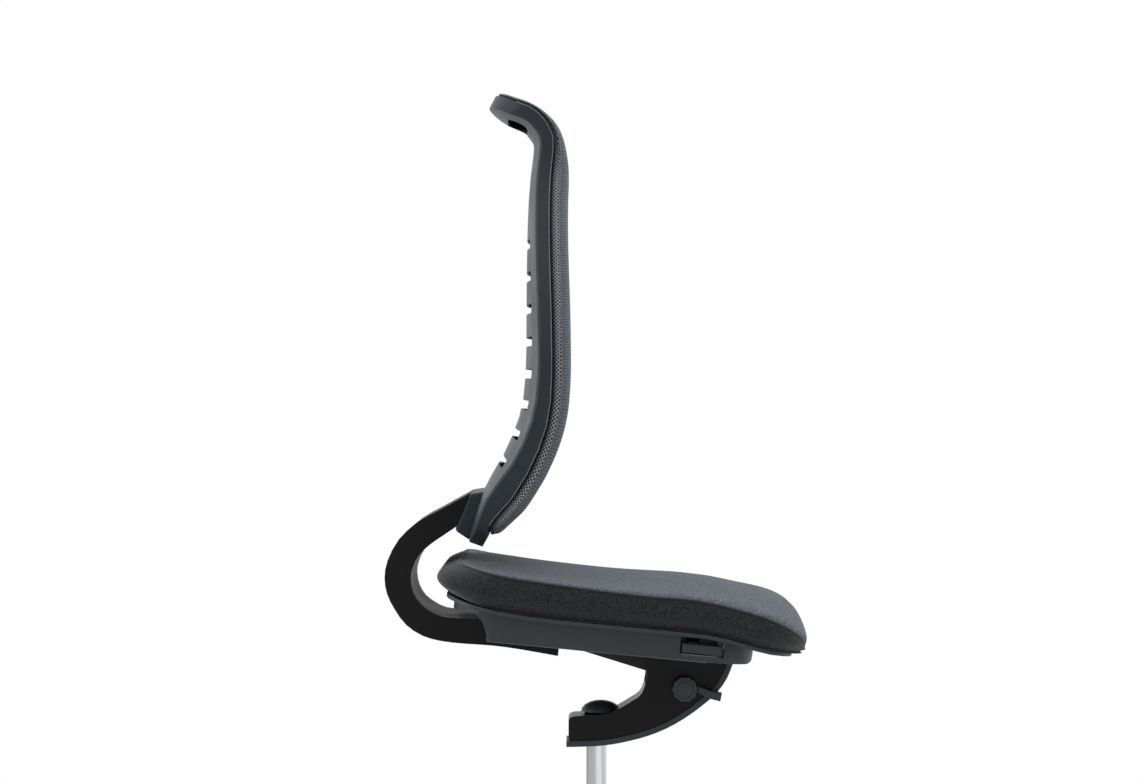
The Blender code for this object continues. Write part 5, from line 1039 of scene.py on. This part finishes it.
bead_points = 0
shell_end = BACK_LENGTH - HANDLE_ROUND * 0.6
shell_places = [float(s) for s in np.arange(BACK_CORNER, shell_end, EDGE_STEP)]
pan_places = [float(p) for p in np.arange(PAN_BEAD_FROM, PAN_BEAD_TO, EDGE_STEP)]
for side, hand in SIDES:
    crests = [rim_crest(s, side) for s in shell_places]
    bead_points += add_bead("edge_bead_" + hand, crests, SHELL_BEAD, "seat_back")
    under_skirt = [on_seat(p, side * PAN_SKIRT_OUT, PAN_SKIRT_UNDER) for p in pan_places]
    pan_line = nearest("seat_pan", under_skirt)
    bead_points += add_bead("pan_bead_" + hand, pan_line, PAN_BEAD, "seat")
recess_along = np.linspace(RECESS_FROM, RECESS_END, RECESS_ALONG_POINTS)
recess_up = np.linspace(RECESS_FOOT, RECESS_TOP, RECESS_UP_POINTS)
recess_plan = [(float(p), RECESS_FOOT) for p in recess_along]
recess_plan += [(RECESS_END, float(h)) for h in recess_up[1:]]
recess_line = nearest("seat_pan", [on_seat(p, -PAN_SKIRT_OUT, h) for p, h in recess_plan])
bead_points += add_bead("recess_bead", recess_line, RECESS_BEAD, "seat")
print("edge beads:", bead_points, "points")

# %% [markdown]
# ## Turned pieces
# Screws, wheels, wheel caps and the disc on the knob are turned pieces. A Screw modifier could spin a
# profile too, but each piece would need an axis object of its own. So a short function lays a ring of
# points for each point of the profile, and joins the rings.

# %% Turned pieces
TURN_SIDES = 28


def turned_piece(name, profile, place, axis, body, finish, sides=TURN_SIDES):
    """Spin a profile of (radius, height) points about an axis, and let it ride on a body."""
    frame_of_turn = Vector(axis).to_track_quat('Z', 'Y').to_matrix().to_4x4()
    frame_of_turn.translation = place
    mesh = bmesh.new()
    rings = []
    for radius, height in profile:
        count = sides if radius > 0 else 1
        turn = [2 * math.pi * k / sides for k in range(count)]
        ring = [Vector((radius * math.cos(a), radius * math.sin(a), height)) for a in turn]
        rings.append([mesh.verts.new(frame_of_turn @ point) for point in ring])
    for inner, outer in zip(rings, rings[1:]):
        for k in range(sides):
            corners = [inner[k % len(inner)], outer[k % len(outer)],
                       outer[(k + 1) % len(outer)], inner[(k + 1) % len(inner)]]
            mesh.faces.new(list(dict.fromkeys(corners)))
    bmesh.ops.recalc_face_normals(mesh, faces=mesh.faces)
    piece = add_mesh(name, mesh, finish)
    piece.data.shade_smooth()
    piece.data.set_sharp_from_angle(angle=CREASE)
    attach(piece, body)
    return piece


print("turned pieces:", TURN_SIDES, "sides, unless a piece has a number of its own")

# %% [markdown]
# ## Knob disc and bracket screws
# The knob's face carries a low disc with a groove round it. Two socket screws hold the bracket from
# below: each head is a low dome with a round socket. Their height could be worked out from the
# bracket's line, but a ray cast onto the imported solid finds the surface, so that none floats.

# %% Knob disc and screws
KNOB_DISC = ((0.0, 0.0007), (0.0092, 0.0007), (0.0104, 0.0004), (0.0108, -0.0002), (0.0116, -0.0002),
             (0.0120, 0.0006), (0.0128, 0.0006), (0.0132, 0.0), (0.0132, -0.0006), (0.0, -0.0006))
KNOB_DISC_SIDES = 40
SCREW_ALONG, SCREW_ACROSS, SCREW_UNDER = -0.078, 0.052, 0.250
SCREW_RADIUS, SCREW_SIDES, SOCKET_FLOOR, SCREW_ROOT = 0.0062, 18, -0.0004, -0.0006
SOCKET_SHARE = 0.46
SCREW_DOME = ((0.50, 0.42), (0.72, 0.36), (0.92, 0.20), (1.0, 0.0))


def touch(node, start, direction):
    """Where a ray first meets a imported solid, and the surface's normal there."""
    hit, place, normal, _ = NODES[node].ray_cast(Vector(start), Vector(direction).normalized())
    if not hit:
        raise ValueError("no surface of %s on that ray" % node)
    return place, normal


def add_screw(name, node, start, direction, radius, body):
    """A socket screw with a low round head, on the surface that a ray meets."""
    place, normal = touch(node, start, direction)
    dome = [(radius * out, radius * up) for out, up in SCREW_DOME]
    head = [(0.0, SOCKET_FLOOR), (radius * SOCKET_SHARE, SOCKET_FLOOR)] + dome
    head += [(radius, SCREW_ROOT), (0.0, SCREW_ROOT)]
    return turned_piece(name, head, place, normal, body, DARK_STEEL, SCREW_SIDES)


knob_low, knob_high = (Vector(corner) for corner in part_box("tension_knob"))
knob_middle = (knob_low + knob_high) / 2
knob_face = Vector((knob_middle.x, knob_low.y, knob_middle.z))
turned_piece("knob_disc", KNOB_DISC, knob_face, (0.0, -1.0, 0.0), "tension",
             KNOB_PLASTIC, KNOB_DISC_SIDES)
for side, hand in SIDES:
    below = (SCREW_ALONG, side * SCREW_ACROSS, SCREW_UNDER)
    add_screw("bracket_screw_" + hand, "back_bracket", below, (0.0, 0.0, 1.0), SCREW_RADIUS, "seat_back")
print("fittings: a knob disc and two screws")

# %% [markdown]
# ## Castor wheels
# A packed wheel has sixteen sides, and its outline would show them. A Subdivision modifier would round
# its tread as well. So each wheel is turned again with many sides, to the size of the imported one, with
# a rounded shoulder and a recessed face, and a low cap covers its hub.

# %% Castor wheels
WHEEL_TURN_SIDES, WHEEL_RECESS, WHEEL_RIM, WHEEL_BORE = 72, 0.004, 0.006, 0.0032
WHEEL_SHOULDER = ((0.0, 0.0060), (0.0004, 0.0042), (0.0017, 0.0018), (0.0030, 0.0004), (0.0040, 0.0),
                  (0.0052, 0.0004), (WHEEL_RIM, WHEEL_RECESS))
WHEEL_CHAMFER = 0.0010
WHEEL_CAP = ((0.0, 0.0014), (0.006, 0.0013), (0.0105, 0.0008), (0.0112, 0.0002), (0.0122, 0.0002),
             (0.0128, 0.0007), (0.0150, 0.0005), (0.0156, -0.0004), (0.0, -0.0004))


def wheel_profile(radius, width):
    """Half section of a wheel, from its bore round the tread and back."""
    inner = [(WHEEL_BORE, 0.0), (radius - WHEEL_CHAMFER, 0.0), (radius, WHEEL_CHAMFER)]
    shoulder = [(radius - inward, width - under) for inward, under in WHEEL_SHOULDER]
    return inner + shoulder + [(WHEEL_BORE, width - WHEEL_RECESS), (WHEEL_BORE, 0.0)]


for k in CASTORS:
    for side in ("left", "right"):
        node, body = "castor_wheel_%s_%d" % (side, k), "wheel_%s_%d" % (side, k)
        low, high = (Vector(corner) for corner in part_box(node))
        hood_low, hood_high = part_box("castor_hood_%d" % k)
        outward = 1.0 if (low.y + high.y) > (hood_low[1] + hood_high[1]) else -1.0
        axis = (0.0, outward, 0.0)
        middle = (low + high) / 2
        radius, width = (high.z - low.z) / 2, high.y - low.y
        inside = Vector((middle.x, low.y if outward > 0 else high.y, middle.z))
        wheel = turned_piece("round_wheel_%s_%d" % (side, k), wheel_profile(radius, width), inside, axis,
                             body, TREAD, WHEEL_TURN_SIDES)
        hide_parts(node)
        face = inside + Vector((0.0, outward * (width - WHEEL_RECESS), 0.0))
        turned_piece("wheel_cap_%s_%d" % (side, k), WHEEL_CAP, face, axis, body, NYLON)
print("wheels:", 2 * len(CASTORS), "with caps")

# %% [markdown]
# ## Pocket behind the depth handle
# The handle's recess in the pan is a pocket for the fingertips, closed behind, so that no daylight
# shows through it when the seat is pulled forward. Its back wall has a slit that the latch rises in.
# A box with a hole cut by a Boolean would do. A sheet of faces bent round three sides of the recess is
# lighter, and a Solidify modifier gives it its wall.

# %% Handle pocket
POCKET_ALONG = (0.1075, 0.1165, 0.1335, 0.1665)
POCKET_ABOVE = (-0.0055, -0.0084, -0.0180, -0.0295)
POCKET_BACK, POCKET_MOUTH, POCKET_WALL, POCKET_CORNER = -0.200, -0.2155, 0.0012, 0.0003
SLIT = (1, 1)

pocket_mesh = bmesh.new()
back_wall = [[pocket_mesh.verts.new(on_seat(p, POCKET_BACK, h)) for p in POCKET_ALONG]
             for h in POCKET_ABOVE]
edge_line = [row[0] for row in back_wall] + back_wall[-1][1:-1]
edge_line += [row[-1] for row in reversed(back_wall)]
forward = ACROSS * (POCKET_MOUTH - POCKET_BACK)
mouth_line = [pocket_mesh.verts.new(corner.co + forward) for corner in edge_line]
for row in range(3):
    for column in range(3):
        if (row, column) != SLIT:
            pocket_mesh.faces.new((back_wall[row][column], back_wall[row][column + 1],
                                   back_wall[row + 1][column + 1], back_wall[row + 1][column]))
for k in range(len(edge_line) - 1):
    pocket_mesh.faces.new((edge_line[k], edge_line[k + 1], mouth_line[k + 1], mouth_line[k]))
bmesh.ops.recalc_face_normals(pocket_mesh, faces=pocket_mesh.faces)
pocket = add_mesh("handle_pocket", pocket_mesh, NYLON)
wall = pocket.modifiers.new("wall", 'SOLIDIFY')
wall.thickness, wall.offset = POCKET_WALL, 0.0
corner_radius = pocket.modifiers.new("corner_radius", 'BEVEL')
corner_radius.width, corner_radius.segments = POCKET_CORNER, 1
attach(pocket, "seat")
print("pocket: %d faces" % len(pocket.data.polygons))

# %% [markdown]
# ## Torsion springs
# Two springs wound on the tilt axle carry the sitter. One leg of each bears under the seat carrier and
# the other on the arm's front wall, so the turns wind up when the seat tilts. A rigid spring could
# follow only one of the two. So a copy of each packed wire stands for it here, welded and shaded
# smooth.

# %% Torsion springs
for side, hand in SIDES:
    node = "torsion_spring_" + hand
    wire_mesh = bmesh.new()
    wire_mesh.from_mesh(NODES[node].data)
    bmesh.ops.remove_doubles(wire_mesh, verts=wire_mesh.verts, dist=WELD_REACH)
    spring = add_mesh("wound_spring_" + hand, wire_mesh, STEEL)
    spring.matrix_world = NODES[node].matrix_world.copy()
    spring.data.shade_smooth()
    spring.data.set_sharp_from_angle(angle=2 * CREASE)
    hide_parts(node)
    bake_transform(spring)

# %% [markdown]
# ## Sizes
# A small function rounds a box's two corners to a hundredth of a millimetre.

# %% Sizes and finish
def corners(box):
    """A box's two corners, rounded to a hundredth of a millimetre."""
    return [[round(v, 5) for v in corner] for corner in box]
